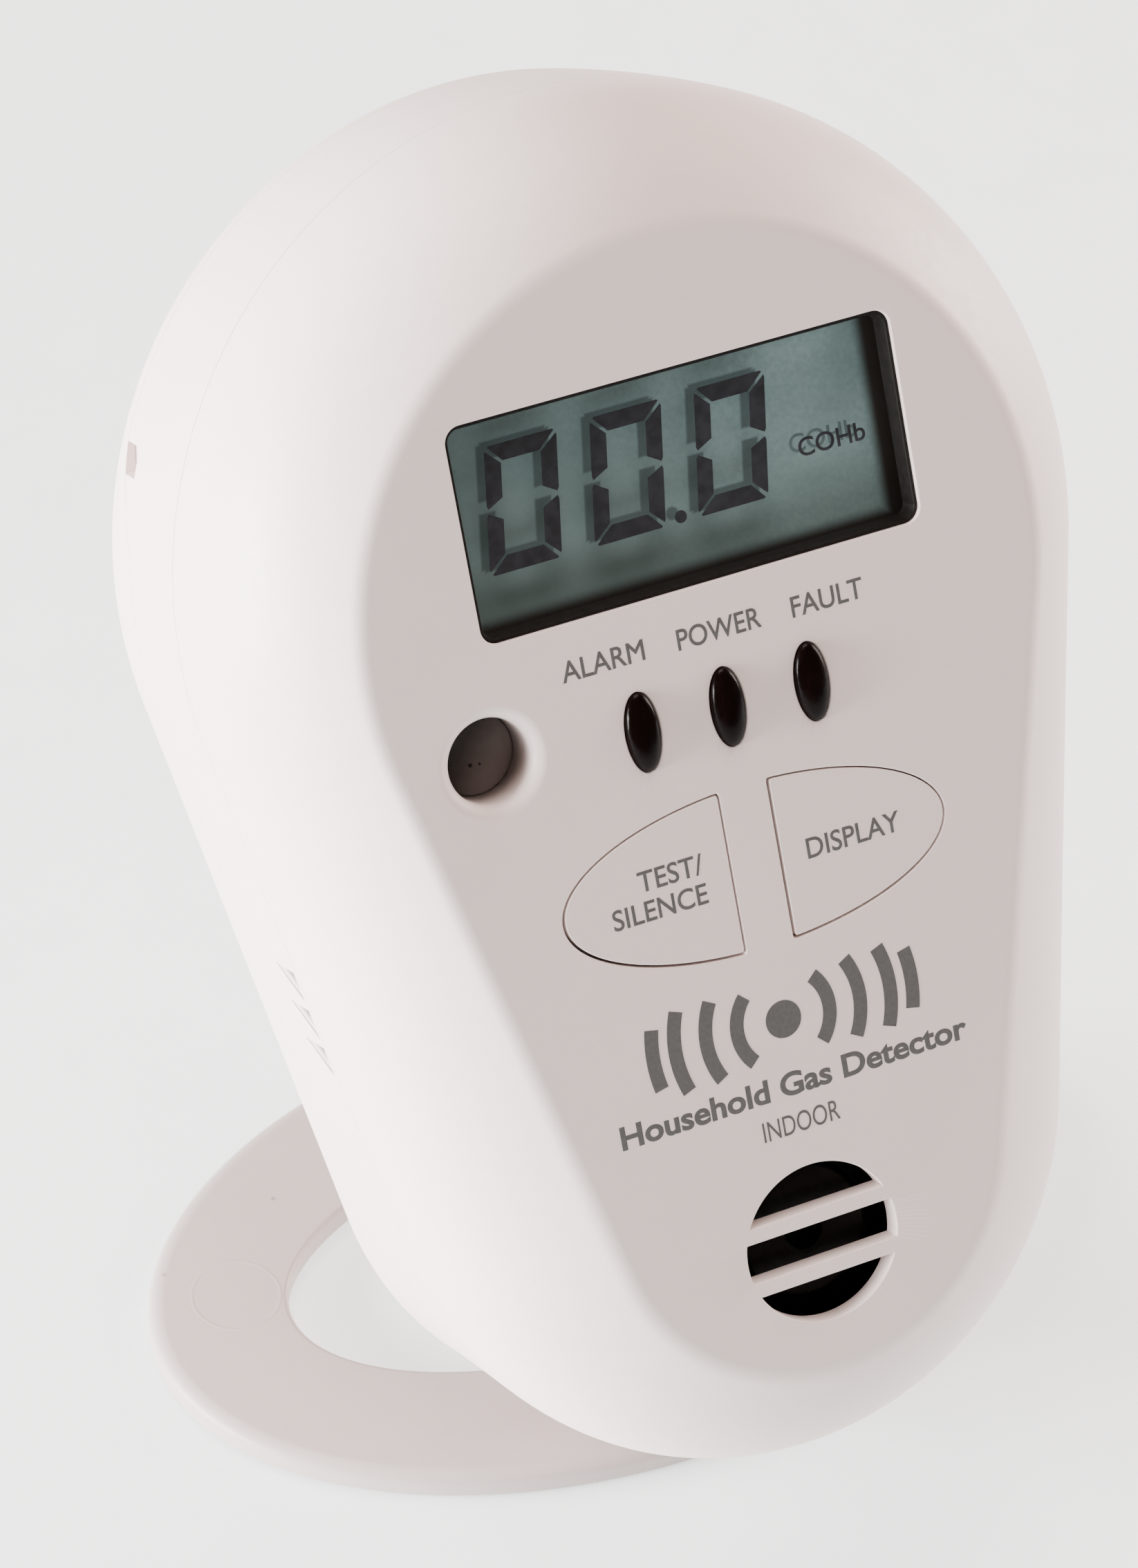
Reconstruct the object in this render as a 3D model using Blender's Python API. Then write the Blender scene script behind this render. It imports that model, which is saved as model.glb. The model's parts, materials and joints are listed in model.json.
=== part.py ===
"""Free-standing carbon monoxide detector: egg-shaped housing leaning back on a hinged ring stand.

Every sub-part is modelled in the housing's own frame and hung on one tilted empty:
X runs across the face, Y runs into the housing from the face plane, Z runs up the face, and the
origin is the middle of the display window. The empty leans the whole housing back and stands it
on the ground plane.
"""
import math

import bmesh
import bpy
import numpy as np
from mathutils import Matrix, Vector

# ---------------------------------------------------------------- driving dimensions, in metres
LEAN = math.radians(30.0)          # how far the face leans back from upright
GAP = 0.0003                       # clearance left between pieces that touch

# Outlines are eggs: a large circle above a small one, joined by tangents.
# Each row is (height of top centre, top radius, height of low centre, low radius).
FACE_EGG = (-0.0098, 0.0297, -0.0592, 0.0178)
SEAM_EGG = (-0.0088, 0.0384, -0.0583, 0.0297)
BACK_EGG = (-0.0090, 0.0375, -0.0599, 0.0289)
TOP_STEPS, SIDE_STEPS, LOW_STEPS = 26, 3, 20

SEAM_Y = 0.0178                    # front cover meets rear cover
BACK_Y = 0.0380                    # flat back of the housing
PLATE_UPPER_Y = 0.0326             # rear cover meets back plate, above the step
PLATE_LOWER_Y = 0.0288             # the same, below the step
PLATE_STEP_Z = (-0.003, 0.009)     # heights between which that joint steps
WALL = 0.0020
FLOOR_FRONT_Y, FLOOR_BACK_Y = 0.0267, 0.0283    # rear cover's floor
HEEL_R = 0.0037                    # rounding round the back edge, centred on the stand's pin

LCD_HALF = (0.0195, 0.00886)
LCD_CORNER = 0.0012
LED_Z, LED_PITCH = -0.0192, 0.00757
LED_HALF = (0.0015, 0.0033)
BUTTON_Z = -0.0328
BUTTON_HALF = (0.01725, 0.00695)
BUTTON_BAR_HALF = 0.00217
SWITCH_X = 0.0085                  # where each button's stem meets its switch
PORT_X, PORT_Z = -0.0203, -0.0182
PORT_R, PORT_LIP = 0.0035, 0.0011
GRILLE_Z, GRILLE_R = -0.0657, 0.00685
GRILLE_BAR_Z, GRILLE_BAR = 0.00236, 0.00136
VENT_Z = (-0.0372, -0.0407, -0.0442)

BOARD_FRONT_Y, BOARD_BACK_Y = 0.0090, 0.0106
CASE_BOSS = ((0.0170, 0.0165, 0.0053), (0.0140, -0.0700, 0.0026))   # x, z, where the boss starts
CASE_BOSS_R = 0.0032
BOARD_BOSS = (0.0220, -0.0260)
BOARD_BOSS_R = 0.0026
PLATE_SCREW = (0.0270, -0.0250)
KEYHOLE = (0.0180, 0.0090)

LABEL_Z, LABEL_POCKET = -0.0200, (0.0222, 0.0130)
CELL_R, CELL_LENGTH = 0.00725, 0.0505
CELL_Y = 0.0191
CELL_Z = (0.0035, -0.0125)

RING_HALF = (0.0424, 0.0270)       # outer half-axes of the stand, across and front to back
RING_BAND = 0.0128
RING_THICK = 0.0026
RING_ROUND = 0.0011
RING_CENTRE_BACK = 0.0186          # middle of the ring behind the pin
EAR_X, EAR_HALF, EAR_R = 0.0070, 0.0020, 0.0026
PIN_R, PIN_HALF = 0.0010, 0.0105
PIN_Y = BACK_Y - HEEL_R
PIN_Z = BACK_EGG[2] - BACK_EGG[3] + HEEL_R

CREAM = (0.80, 0.75, 0.72)
MATERIALS = {
    "shell": (CREAM, 0.42, 0.0), "button": ((0.78, 0.73, 0.70), 0.42, 0.0),
    "stand": ((0.76, 0.70, 0.68), 0.45, 0.0), "black": ((0.015, 0.014, 0.015), 0.25, 0.0),
    "lens": ((0.02, 0.006, 0.006), 0.08, 0.0), "lcd": ((0.16, 0.25, 0.25), 0.15, 0.0),
    "white": ((0.85, 0.85, 0.83), 0.5, 0.0), "rubber": ((0.06, 0.06, 0.065), 0.7, 0.0),
    "board": ((0.03, 0.16, 0.07), 0.4, 0.0), "steel": ((0.62, 0.62, 0.63), 0.3, 1.0),
    "brass": ((0.75, 0.55, 0.24), 0.3, 1.0), "cell": ((0.12, 0.22, 0.42), 0.35, 0.0),
    "led_clear": ((0.75, 0.78, 0.78), 0.1, 0.0), "copper": ((0.72, 0.36, 0.18), 0.35, 1.0),
    "label": ((0.72, 0.72, 0.70), 0.5, 0.0), "lead_red": ((0.55, 0.03, 0.03), 0.45, 0.0),
}


# ---------------------------------------------------------------- helpers
def clear_scene():
    for item in list(bpy.data.objects):
        bpy.data.objects.remove(item, do_unlink=True)


def material(name):
    found = bpy.data.materials.get(name)
    if found:
        return found
    colour, rough, metal = MATERIALS[name]
    made = bpy.data.materials.new(name)
    made.use_nodes = True
    shader = made.node_tree.nodes["Principled BSDF"]
    shader.inputs["Base Color"].default_value = (*colour, 1.0)
    shader.inputs["Roughness"].default_value = rough
    shader.inputs["Metallic"].default_value = metal
    made.diffuse_color = (*colour, 1.0)
    return made


def add_object(name, mesh, finish, parent, origin=(0, 0, 0)):
    """Link a mesh as a named piece and put its origin at a point of its parent's frame."""
    mesh.transform(Matrix.Translation(-Vector(origin)))
    mesh.shade_smooth()
    mesh.set_sharp_from_angle(angle=math.radians(35))
    piece = bpy.data.objects.new(name, mesh)
    bpy.context.collection.objects.link(piece)
    piece.parent = parent
    piece.location = origin
    piece.data.materials.append(material(finish))
    return piece


def mesh_from(name, build):
    """A closed mesh whose faces are turned outwards."""
    bm = bmesh.new()
    build(bm)
    bmesh.ops.recalc_face_normals(bm, faces=bm.faces)
    mesh = bpy.data.meshes.new(name)
    bm.to_mesh(mesh)
    bm.free()
    return mesh


def loft(name, loops):
    """Skin a list of equal loops of (x, y, z) points and close both ends with a face."""
    def build(bm):
        rows = [[bm.verts.new(point) for point in loop] for loop in loops]
        count = len(rows[0])
        for near, far in zip(rows, rows[1:]):
            for i in range(count):
                j = (i + 1) % count
                bm.faces.new((near[i], near[j], far[j], far[i]))
        bm.faces.new(rows[0])
        bm.faces.new(rows[-1])
    return mesh_from(name, build)


def prism(name, outline, y_front, y_back):
    """An outline of (x, z) points drawn straight back from y_front to y_back."""
    return loft(name, [[(x, y, z) for x, z in outline] for y in (y_front, y_back)])


def stack(name, steps):
    """Prisms of equal point count one behind another: steps are (outline, y) pairs."""
    return loft(name, [[(x, y, z) for x, z in outline] for outline, y in steps])


def ring_loft(name, loops):
    """Skin loops of points round a closed tube, joining the last loop to the first."""
    def build(bm):
        rows = [[bm.verts.new(point) for point in loop] for loop in loops]
        for near, far in zip(rows, rows[1:] + rows[:1]):
            for i in range(len(near)):
                j = (i + 1) % len(near)
                bm.faces.new((near[i], near[j], far[j], far[i]))
    return mesh_from(name, build)


def circle(x, z, r, steps=18):
    turns = [2 * math.pi * i / steps for i in range(steps)]
    return [(x + r * math.cos(t), z + r * math.sin(t)) for t in turns]


def ellipse(x, z, a, b, steps=20):
    turns = [2 * math.pi * i / steps for i in range(steps)]
    return [(x + a * math.cos(t), z + b * math.sin(t)) for t in turns]


def rounded_box(x, z, half_x, half_z, r, steps=4):
    """Rectangle with round corners, as (x, z) points."""
    points = []
    for quarter, (sx, sz) in enumerate(((1, 1), (-1, 1), (-1, -1), (1, -1))):
        cx, cz = x + sx * (half_x - r), z + sz * (half_z - r)
        for i in range(steps + 1):
            t = math.pi / 2 * (quarter + i / steps)
            points.append((cx + r * math.cos(t), cz + r * math.sin(t)))
    return points


def rod(name, x, z, r, y_front, y_back, steps=16):
    return prism(name, circle(x, z, r, steps), y_front, y_back)


def cutter(name, mesh, parent):
    tool = bpy.data.objects.new(name, mesh)
    bpy.context.collection.objects.link(tool)
    tool.parent = parent
    tool.hide_render = True
    tool.display_type = "WIRE"
    return tool


def combine(piece, tool, operation="DIFFERENCE"):
    step = piece.modifiers.new(f"{operation.lower()}_{tool.name}", "BOOLEAN")
    step.operation = operation
    step.solver = "EXACT"
    step.object = tool


def cut(piece, mesh, parent):
    combine(piece, cutter(f"cut_{mesh.name}", mesh, parent))


def fuse(piece, mesh, parent):
    combine(piece, cutter(f"add_{mesh.name}", mesh, parent), "UNION")


# ---------------------------------------------------------------- the housing's outline
def egg(params, inset=0.0):
    """Points round an egg outline, anticlockwise from the right-hand tangent."""
    top_z, top_r, low_z, low_r = params
    lean = math.asin((top_r - low_r) / (top_z - low_z))
    top_r, low_r = top_r - inset, low_r - inset
    points = []
    for i in range(TOP_STEPS + 1):
        t = -lean + (math.pi + 2 * lean) * i / TOP_STEPS
        points.append((top_r * math.cos(t), top_z + top_r * math.sin(t)))
    low = []
    for i in range(LOW_STEPS + 1):
        t = math.pi + lean + (math.pi - 2 * lean) * i / LOW_STEPS
        low.append((low_r * math.cos(t), low_z + low_r * math.sin(t)))

    def side(start, end):
        return [(start[0] + (end[0] - start[0]) * k / SIDE_STEPS,
                 start[1] + (end[1] - start[1]) * k / SIDE_STEPS) for k in range(1, SIDE_STEPS)]
    return points + side(points[-1], low[0]) + low + side(low[-1], points[0])


def mix(first, second, share):
    return tuple(a + (b - a) * share for a, b in zip(first, second))


def flank_egg(y, depth=SEAM_Y):
    """The outline between the face's crease and the seam, bulging most near the crease."""
    return mix(FACE_EGG, SEAM_EGG, 1 - (1 - y / depth) ** 3)


def band_egg(y):
    """The outline between the seam and the back."""
    return mix(SEAM_EGG, BACK_EGG, ((y - SEAM_Y) / (BACK_Y - SEAM_Y)) ** 2)


def at(params, y, inset=0.0):
    return [(x, y, z) for x, z in egg(params, inset)]


def plate_joint_y(z):
    """Depth of the line where rear cover and back plate meet, which steps near the display."""
    low, high = PLATE_STEP_Z
    t = min(1.0, max(0.0, (z - low) / (high - low)))
    return PLATE_LOWER_Y + (PLATE_UPPER_Y - PLATE_LOWER_Y) * t * t * (3 - 2 * t)


def on_joint(inset, offset):
    return [(x, plate_joint_y(z) + offset, z) for x, z in egg(band_egg(PLATE_LOWER_Y), inset)]


# ---------------------------------------------------------------- front cover
def front_shell():
    outer = [at(flank_egg(SEAM_Y * t), SEAM_Y * t) for t in (0, 0.04, 0.1, 0.18, 0.28, 0.4, 0.55, 0.75, 1)]
    rebate_y = SEAM_Y - 0.0022
    rim = [at(SEAM_EGG, SEAM_Y, 0.0011), at(flank_egg(rebate_y), rebate_y, 0.0011)]
    inner = []
    for t in (1, 0.6, 0.33, 0.13, 0):
        y = WALL + (rebate_y - WALL) * t
        inner.append(at(mix(FACE_EGG, flank_egg(rebate_y), 1 - (1 - t) ** 3), y, WALL))
    return loft("front_cover", outer + rim + inner)


def half_button(side, grow):
    """One half of the split ellipse, grown outwards by grow; side is -1 left or +1 right."""
    a, b = BUTTON_HALF[0] + grow, BUTTON_HALF[1] + grow
    bar = BUTTON_BAR_HALF - grow
    start = math.acos(bar / a)
    turns = [start - 2 * start * i / 18 for i in range(19)]
    points = [(side * a * math.cos(t), BUTTON_Z + b * math.sin(t)) for t in turns]
    return points


def grille_slot(low, high):
    """The part of the grille's circle between two heights."""
    first, last = (math.asin(v / GRILLE_R) for v in (low, high))
    right = [first + (last - first) * i / 6 for i in range(7)]
    points = [(GRILLE_R * math.cos(t), GRILLE_Z + GRILLE_R * math.sin(t)) for t in right]
    return points + [(-x, z) for x, z in reversed(points)]


def port_cutter():
    """A round hole with a rolled lip where it meets the face."""
    steps = [(PORT_R + PORT_LIP + 0.0005, -0.0006), (PORT_R + PORT_LIP, 0.0)]
    for i in range(1, 5):
        t = math.pi / 2 * i / 4
        steps.append((PORT_R + PORT_LIP * (1 - math.sin(t)), PORT_LIP * (1 - math.cos(t))))
    steps.append((PORT_R, 0.0090))
    return stack("port", [(circle(PORT_X, PORT_Z, r, 24), y) for r, y in steps])


def front_cover(root):
    cover = add_object("front_cover", front_shell(), "shell", root)
    for side in (-1, 1):
        for number, (x, z, y) in enumerate(CASE_BOSS):
            name = f"case_boss_{number}_{side}"
            fuse(cover, rod(name, side * x, z, CASE_BOSS_R, y, SEAM_Y - 0.0012), root)
        x, z = BOARD_BOSS
        fuse(cover, rod(f"board_boss_{side}", side * x, z, BOARD_BOSS_R, 0.0015, BOARD_FRONT_Y - GAP), root)
    fuse(cover, rod("port_tube", PORT_X, PORT_Z, PORT_R + 0.0013, 0.0015, 0.0072, 24), root)
    cut(cover, prism("window", rounded_box(0, 0, *LCD_HALF, LCD_CORNER), -0.001, 0.004), root)
    cut(cover, prism("window_pocket", rounded_box(0, 0, 0.0212, 0.0106, 0.0025), 0.0013, 0.0041), root)
    for number in (-1, 0, 1):
        half = [value + 0.00015 for value in LED_HALF]
        cut(cover, prism(f"led_{number}", ellipse(number * LED_PITCH, LED_Z, *half), -0.001, 0.004), root)
    for side in (-1, 1):
        cut(cover, prism(f"button_{side}", half_button(side, 0.0), -0.001, 0.004), root)
        for number, (x, z, y) in enumerate(CASE_BOSS):
            cut(cover, rod(f"boss_hole_{number}_{side}", side * x, z, 0.0014, y + 0.002, 0.0200, 12), root)
        x, z = BOARD_BOSS
        cut(cover, rod(f"board_hole_{side}", side * x, z, 0.0010, 0.0035, 0.0095, 12), root)
    cut(cover, port_cutter(), root)
    bar_low, bar_high = GRILLE_BAR_Z - GRILLE_BAR / 2, GRILLE_BAR_Z + GRILLE_BAR / 2
    reach = GRILLE_R * 0.9999
    for name, low, high in (("low", -reach, -bar_high), ("middle", -bar_low, bar_low), ("high", bar_high, reach)):
        cut(cover, prism(f"grille_{name}", grille_slot(low, high), -0.001, 0.004), root)
    cut(cover, rod("grille_relief", 0, GRILLE_Z, GRILLE_R + 0.0012, 0.0015, 0.0030, 24), root)
    return cover


# ---------------------------------------------------------------- rear cover
def side_notch(name, side, y_low, y_high, z_low, z_high, x_mid):
    corners = [(x_mid - 0.006, z_low), (x_mid + 0.006, z_low), (x_mid + 0.006, z_high), (x_mid - 0.006, z_high)]
    return prism(name, [(side * x, z) for x, z in corners], y_low, y_high)


def rear_cover(root):
    tongue_y = SEAM_Y - 0.0017
    start = SEAM_Y + GAP
    loops = [at(SEAM_EGG, FLOOR_FRONT_Y, 0.0025), at(SEAM_EGG, start + 0.0012, 0.0025),
             at(flank_egg(tongue_y), tongue_y, 0.0025), at(flank_egg(tongue_y), tongue_y, 0.0014),
             at(SEAM_EGG, start, 0.0014), at(SEAM_EGG, start), at(band_egg(0.0235), 0.0235),
             on_joint(0.0, -GAP / 2), on_joint(0.0018, -GAP / 2),
             [(x, FLOOR_BACK_Y, z) for x, z in egg(band_egg(PLATE_LOWER_Y), 0.0021)]]
    cover = add_object("rear_cover", loft("rear_cover", loops), "shell", root)
    post_start = SEAM_Y - 0.0012 + GAP
    for side in (-1, 1):
        for number, (x, z, _) in enumerate(CASE_BOSS):
            tag = f"{number}_{side}"
            fuse(cover, rod(f"post_{tag}", side * x, z, CASE_BOSS_R + 0.0006, post_start, 0.0275), root)
        x, z = PLATE_SCREW
        fuse(cover, rod(f"plate_boss_{side}", side * x, z, 0.0028, 0.0200, 0.0275), root)
    for side in (-1, 1):
        for number, (x, z, _) in enumerate(CASE_BOSS):
            tag = f"{number}_{side}"
            cut(cover, rod(f"post_hole_{tag}", side * x, z, 0.0015, 0.0100, 0.0300, 12), root)
            cut(cover, rod(f"post_seat_{tag}", side * x, z, 0.0028, 0.0261, 0.0300), root)
        x, z = PLATE_SCREW
        cut(cover, rod(f"plate_hole_{side}", side * x, z, 0.0010, 0.0215, 0.0300, 12), root)
        for number, z in enumerate(VENT_Z):
            name = f"vent_{number}_{side}"
            cut(cover, side_notch(name, side, 0.0150, 0.0223, z - 0.0010, z + 0.0011, 0.0330), root)
        cut(cover, side_notch(f"notch_{side}", side, 0.0289, 0.0340, 0.0047, 0.0071, 0.0385), root)
    return cover


# ---------------------------------------------------------------- back plate, stand and pin
def hull(name, points):
    def build(bm):
        for point in points:
            bm.verts.new(point)
        made = bmesh.ops.convex_hull(bm, input=bm.verts)
        loose = [item for item in made["geom_interior"] if isinstance(item, bmesh.types.BMVert)]
        bmesh.ops.delete(bm, geom=loose, context="VERTS")
    return mesh_from(name, build)


def swing_room(name, x_low, x_high):
    """The space an ear sweeps: a hull round the pin, the ring below it and the ring folded back."""
    down = (math.sin(LEAN), -math.cos(LEAN))
    points = []
    for reach_y, reach_z in ((0, 0), down, (1, 0)):
        for i in range(16):
            t = 2 * math.pi * i / 16
            y = PIN_Y + 0.009 * reach_y + (EAR_R + 0.0004) * math.cos(t)
            z = PIN_Z + 0.009 * reach_z + (EAR_R + 0.0004) * math.sin(t)
            points += [(x_low, y, z), (x_high, y, z)]
    return hull(name, points)


def cross_rod(name, r, x_low, x_high, y, z, steps=16, turn=0.0):
    turns = [turn + 2 * math.pi * i / steps for i in range(steps)]
    return loft(name, [[(x, y + r * math.cos(t), z + r * math.sin(t)) for t in turns] for x in (x_low, x_high)])


def heel_block(root):
    """Solid fill at the housing's heel, for the stand's pin, kept inside the plate's outer surface."""
    half_x, y_low, z_high = 0.0125, 0.0300, -0.0806
    block = prism("heel", [(-half_x, -0.100), (half_x, -0.100), (half_x, z_high), (-half_x, z_high)], y_low, 0.0370)
    tool = cutter("add_heel", block, root)
    inset = 0.0004
    skin = [at(BACK_EGG, y_low - 0.001, inset)]
    for i in range(5):
        t = math.pi / 2 * i / 5
        skin.append(at(BACK_EGG, PIN_Y + (HEEL_R - inset) * math.sin(t), HEEL_R - (HEEL_R - inset) * math.cos(t)))
    combine(tool, cutter("heel_skin", loft("heel_skin", skin), root), "INTERSECT")
    return tool


def back_plate(root):
    outer = [on_joint(0.0, GAP / 2)]
    for i in range(5):
        t = math.pi / 2 * i / 4
        outer.append(at(BACK_EGG, PIN_Y + HEEL_R * math.sin(t), HEEL_R * (1 - math.cos(t))))
    inner = [on_joint(0.0018, GAP / 2), at(BACK_EGG, 0.0334, 0.0021), at(BACK_EGG, 0.0352, 0.0030),
             at(BACK_EGG, BACK_Y - 0.0018, 0.0050)]
    plate = add_object("back_plate", loft("back_plate", outer[::-1] + inner), "shell", root)
    combine(plate, heel_block(root), "UNION")
    x, z = PLATE_SCREW
    for side in (-1, 1):
        fuse(plate, rod(f"plate_post_{side}", side * x, z, 0.0036, FLOOR_BACK_Y + GAP, 0.0370), root)
    for side in (-1, 1):
        cut(plate, rod(f"plate_shaft_{side}", side * x, z, 0.0014, 0.0250, 0.0320, 12), root)
        cut(plate, rod(f"plate_seat_{side}", side * x, z, 0.0029, 0.0315, 0.0390), root)
        hole_x, hole_z = KEYHOLE
        cut(plate, rod(f"keyhole_{side}", side * hole_x, hole_z, 0.0041, 0.0350, 0.0390, 24), root)
        slot = rounded_box(side * hole_x, hole_z + 0.0038, 0.0021, 0.0060, 0.0020)
        cut(plate, prism(f"keyhole_slot_{side}", slot, 0.0345, 0.0395), root)
        low, high = side * EAR_X - EAR_HALF - GAP, side * EAR_X + EAR_HALF + GAP
        cut(plate, swing_room(f"ear_slot_{side}", low, high), root)
    cut(plate, cross_rod("pin_bore", PIN_R * 1.10, -PIN_HALF - GAP, PIN_HALF + GAP, PIN_Y, PIN_Z), root)
    cut(plate, prism("label_pocket", rounded_box(0, LABEL_Z, *LABEL_POCKET, 0.002), BACK_Y - 0.0005, 0.0390), root)
    return plate


def rating_label(root):
    half = [value - GAP for value in LABEL_POCKET]
    mesh = prism("rating_label", rounded_box(0, LABEL_Z, *half, 0.002), BACK_Y - 0.00035, BACK_Y - 0.00005)
    add_object("rating_label", mesh, "label", root)


def ring_section():
    """The band's cross-section as (inset from the outer edge, height above the ground) pairs."""
    top, low_r, inner_r = RING_THICK, 0.0006, 0.0005
    points = []
    for i in range(4):                                   # outer top edge, generously rounded
        t = math.pi / 2 * i / 3
        points.append((RING_ROUND * (1 - math.cos(t)) * 1.5, top - RING_ROUND * (1 - math.sin(t))))
    for i in range(2):
        t = math.pi / 2 * i
        points.append((RING_BAND - inner_r * (1 - math.sin(t)), top - inner_r * (1 - math.cos(t))))
    points.append((RING_BAND, low_r))
    points.append((RING_BAND - low_r, 0.0))
    points.append((low_r, 0.0))
    points.append((0.0, low_r))
    return points


def stand_ring(pivot):
    """The oval ring lying flat on the ground, with two ears up to the pin; its origin is the pin."""
    ground = -(HEEL_R + GAP + RING_THICK)
    a, b = RING_HALF
    turns = [2 * math.pi * i / 64 for i in range(64)]
    loops = [[((a - inset) * math.cos(t), RING_CENTRE_BACK + (b - inset) * math.sin(t), ground + height)
              for t in turns] for inset, height in ring_section()]
    ring = add_object("stand_ring", ring_loft("stand_ring", loops), "stand", pivot)
    foot_half, foot_z = 0.0028, ground + RING_THICK - 0.0008
    for side in (-1, 1):
        points = []
        for x in (side * EAR_X - EAR_HALF, side * EAR_X + EAR_HALF):
            points += [(x, -foot_half, foot_z), (x, foot_half, foot_z)]
            for i in range(20):
                t = 2 * math.pi * i / 20
                points.append((x, EAR_R * math.cos(t), EAR_R * math.sin(t)))
        fuse(ring, hull(f"ear_{side}", points), pivot)
    cut(ring, cross_rod("ear_bore", PIN_R * 1.10, -0.0120, 0.0120, 0.0, 0.0), pivot)
    return ring


def hinge_pin(root):
    mesh = cross_rod("hinge_pin", PIN_R, -PIN_HALF, PIN_HALF, PIN_Y, PIN_Z)
    add_object("hinge_pin", mesh, "steel", root, (0, PIN_Y, PIN_Z))


# ---------------------------------------------------------------- buttons and switches
def push_button(root, name, side):
    cap, flange = half_button(side, -0.00025), half_button(side, 0.0010)
    mesh = stack(name, [(cap, 0.0), (cap, WALL + GAP), (flange, WALL + GAP), (flange, 0.0033)])
    button = add_object(name, mesh, "button", root, (side * SWITCH_X, 0, BUTTON_Z))
    fuse(button, rod(f"stem_{side}", side * SWITCH_X, BUTTON_Z, 0.0016, 0.0030, 0.0043, 16), root)


def tact_switch(root, name, side):
    x = side * SWITCH_X
    body = add_object(f"{name}_body", prism(name, rounded_box(x, BUTTON_Z, 0.003, 0.003, 0.0004, 2),
                                            0.0054, BOARD_FRONT_Y - GAP), "black", root)
    cut(body, rod(f"{name}_well", x, BUTTON_Z, 0.0020, 0.0050, 0.0070, 16), root)
    plunger = rod(f"{name}_plunger", x, BUTTON_Z, 0.0017, 0.0046, 0.0063, 16)
    add_object(f"{name}_plunger", plunger, "white", root, (x, 0.0046, BUTTON_Z))


# ---------------------------------------------------------------- display, lights and light port
def frame_tube(name, steps):
    """A rectangular frame: steps are (half_x, half_z, corner radius, y) round its section."""
    return ring_loft(name, [[(x, y, z) for x, z in rounded_box(0, 0, hx, hz, r)] for hx, hz, r, y in steps])


def display(root):
    hx, hz = LCD_HALF
    nose, lip = 0.00015, 0.00065
    add_object("lcd_bezel", frame_tube("lcd_bezel", [
        (hx - nose, hz - nose, 0.0010, 0.0003), (hx - nose, hz - nose, 0.0010, 0.0016),
        (0.0209, 0.0103, 0.0023, 0.0016), (0.0209, 0.0103, 0.0023, 0.0019),
        (hx - lip, hz - lip, 0.0006, 0.0019), (hx - lip, hz - lip, 0.0006, 0.0003)]), "black", root)
    add_object("lcd_glass", prism("lcd_glass", rounded_box(0, 0, 0.0208, 0.0102, 0.0020, 2), 0.0022, 0.0049),
               "lcd", root)
    add_object("lcd_reflector", prism("lcd_reflector", rounded_box(0, 0, 0.0205, 0.0082, 0.0005, 2),
                                      0.0052, 0.0066), "white", root)
    add_object("lcd_holder", frame_tube("lcd_holder", [
        (0.0226, 0.0123, 0.0010, 0.0052), (0.0226, 0.0123, 0.0010, 0.0087),
        (0.0211, 0.0109, 0.0004, 0.0087), (0.0211, 0.0109, 0.0004, 0.0052)]), "white", root)
    for name, z in (("zebra_strip_upper", 0.0096), ("zebra_strip_lower", -0.0096)):
        add_object(name, prism(name, rounded_box(0, z, 0.0190, 0.0009, 0.0003, 1), 0.0052, 0.0087), "rubber", root)


def status_lights(root):
    a, b = LED_HALF
    for number, colour in ((-1, "alarm"), (0, "power"), (1, "fault")):
        x = number * LED_PITCH
        steps = []
        for i in range(4):
            t = math.radians(21 + 23 * i)
            steps.append((ellipse(x, LED_Z, a * math.sin(t), b * math.sin(t)), -0.0009 * math.cos(t)))
        steps.append((ellipse(x, LED_Z, a, b), WALL + GAP))
        steps.append((ellipse(x, LED_Z, a + 0.0008, b + 0.0008), WALL + GAP))
        steps.append((ellipse(x, LED_Z, a + 0.0008, b + 0.0008), 0.0030))
        add_object(f"led_lens_{colour}", stack(f"led_lens_{colour}", steps), "lens", root)
        profile = ((0.0004, 0.0033), (0.0011, 0.0036), (0.0015, 0.0043), (0.0015, 0.0077),
                   (0.0019, 0.0077), (0.0019, BOARD_FRONT_Y - GAP))
        bulb = stack(f"led_{colour}", [(circle(x, LED_Z, r, 16), y) for r, y in profile])
        add_object(f"led_{colour}", bulb, "led_clear", root)


def light_port(root):
    add_object("port_insert", rod("port_insert", PORT_X, PORT_Z, PORT_R - 0.0002, 0.0043, 0.0055, 24), "black", root)
    profile = ((0.0018, 0.0058), (0.0024, 0.0062), (0.0024, BOARD_FRONT_Y - GAP))
    add_object("light_sensor", stack("light_sensor", [(circle(PORT_X, PORT_Z, r, 16), y) for r, y in profile]),
               "led_clear", root)


# ---------------------------------------------------------------- circuit board and what stands on it
def main_board(root):
    half = ((0.0270, 0.0090), (0.0270, -0.0140), (0.0255, -0.0290), (0.0200, -0.0530))
    outline = list(half) + [(-x, z) for x, z in reversed(half)]
    board = add_object("main_board", prism("main_board", outline, BOARD_FRONT_Y, BOARD_BACK_Y), "board", root)
    x, z = BOARD_BOSS
    for side in (-1, 1):
        cut(board, rod(f"board_screw_hole_{side}", side * x, z, 0.0013, 0.0080, 0.0120, 16), root)


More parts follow.
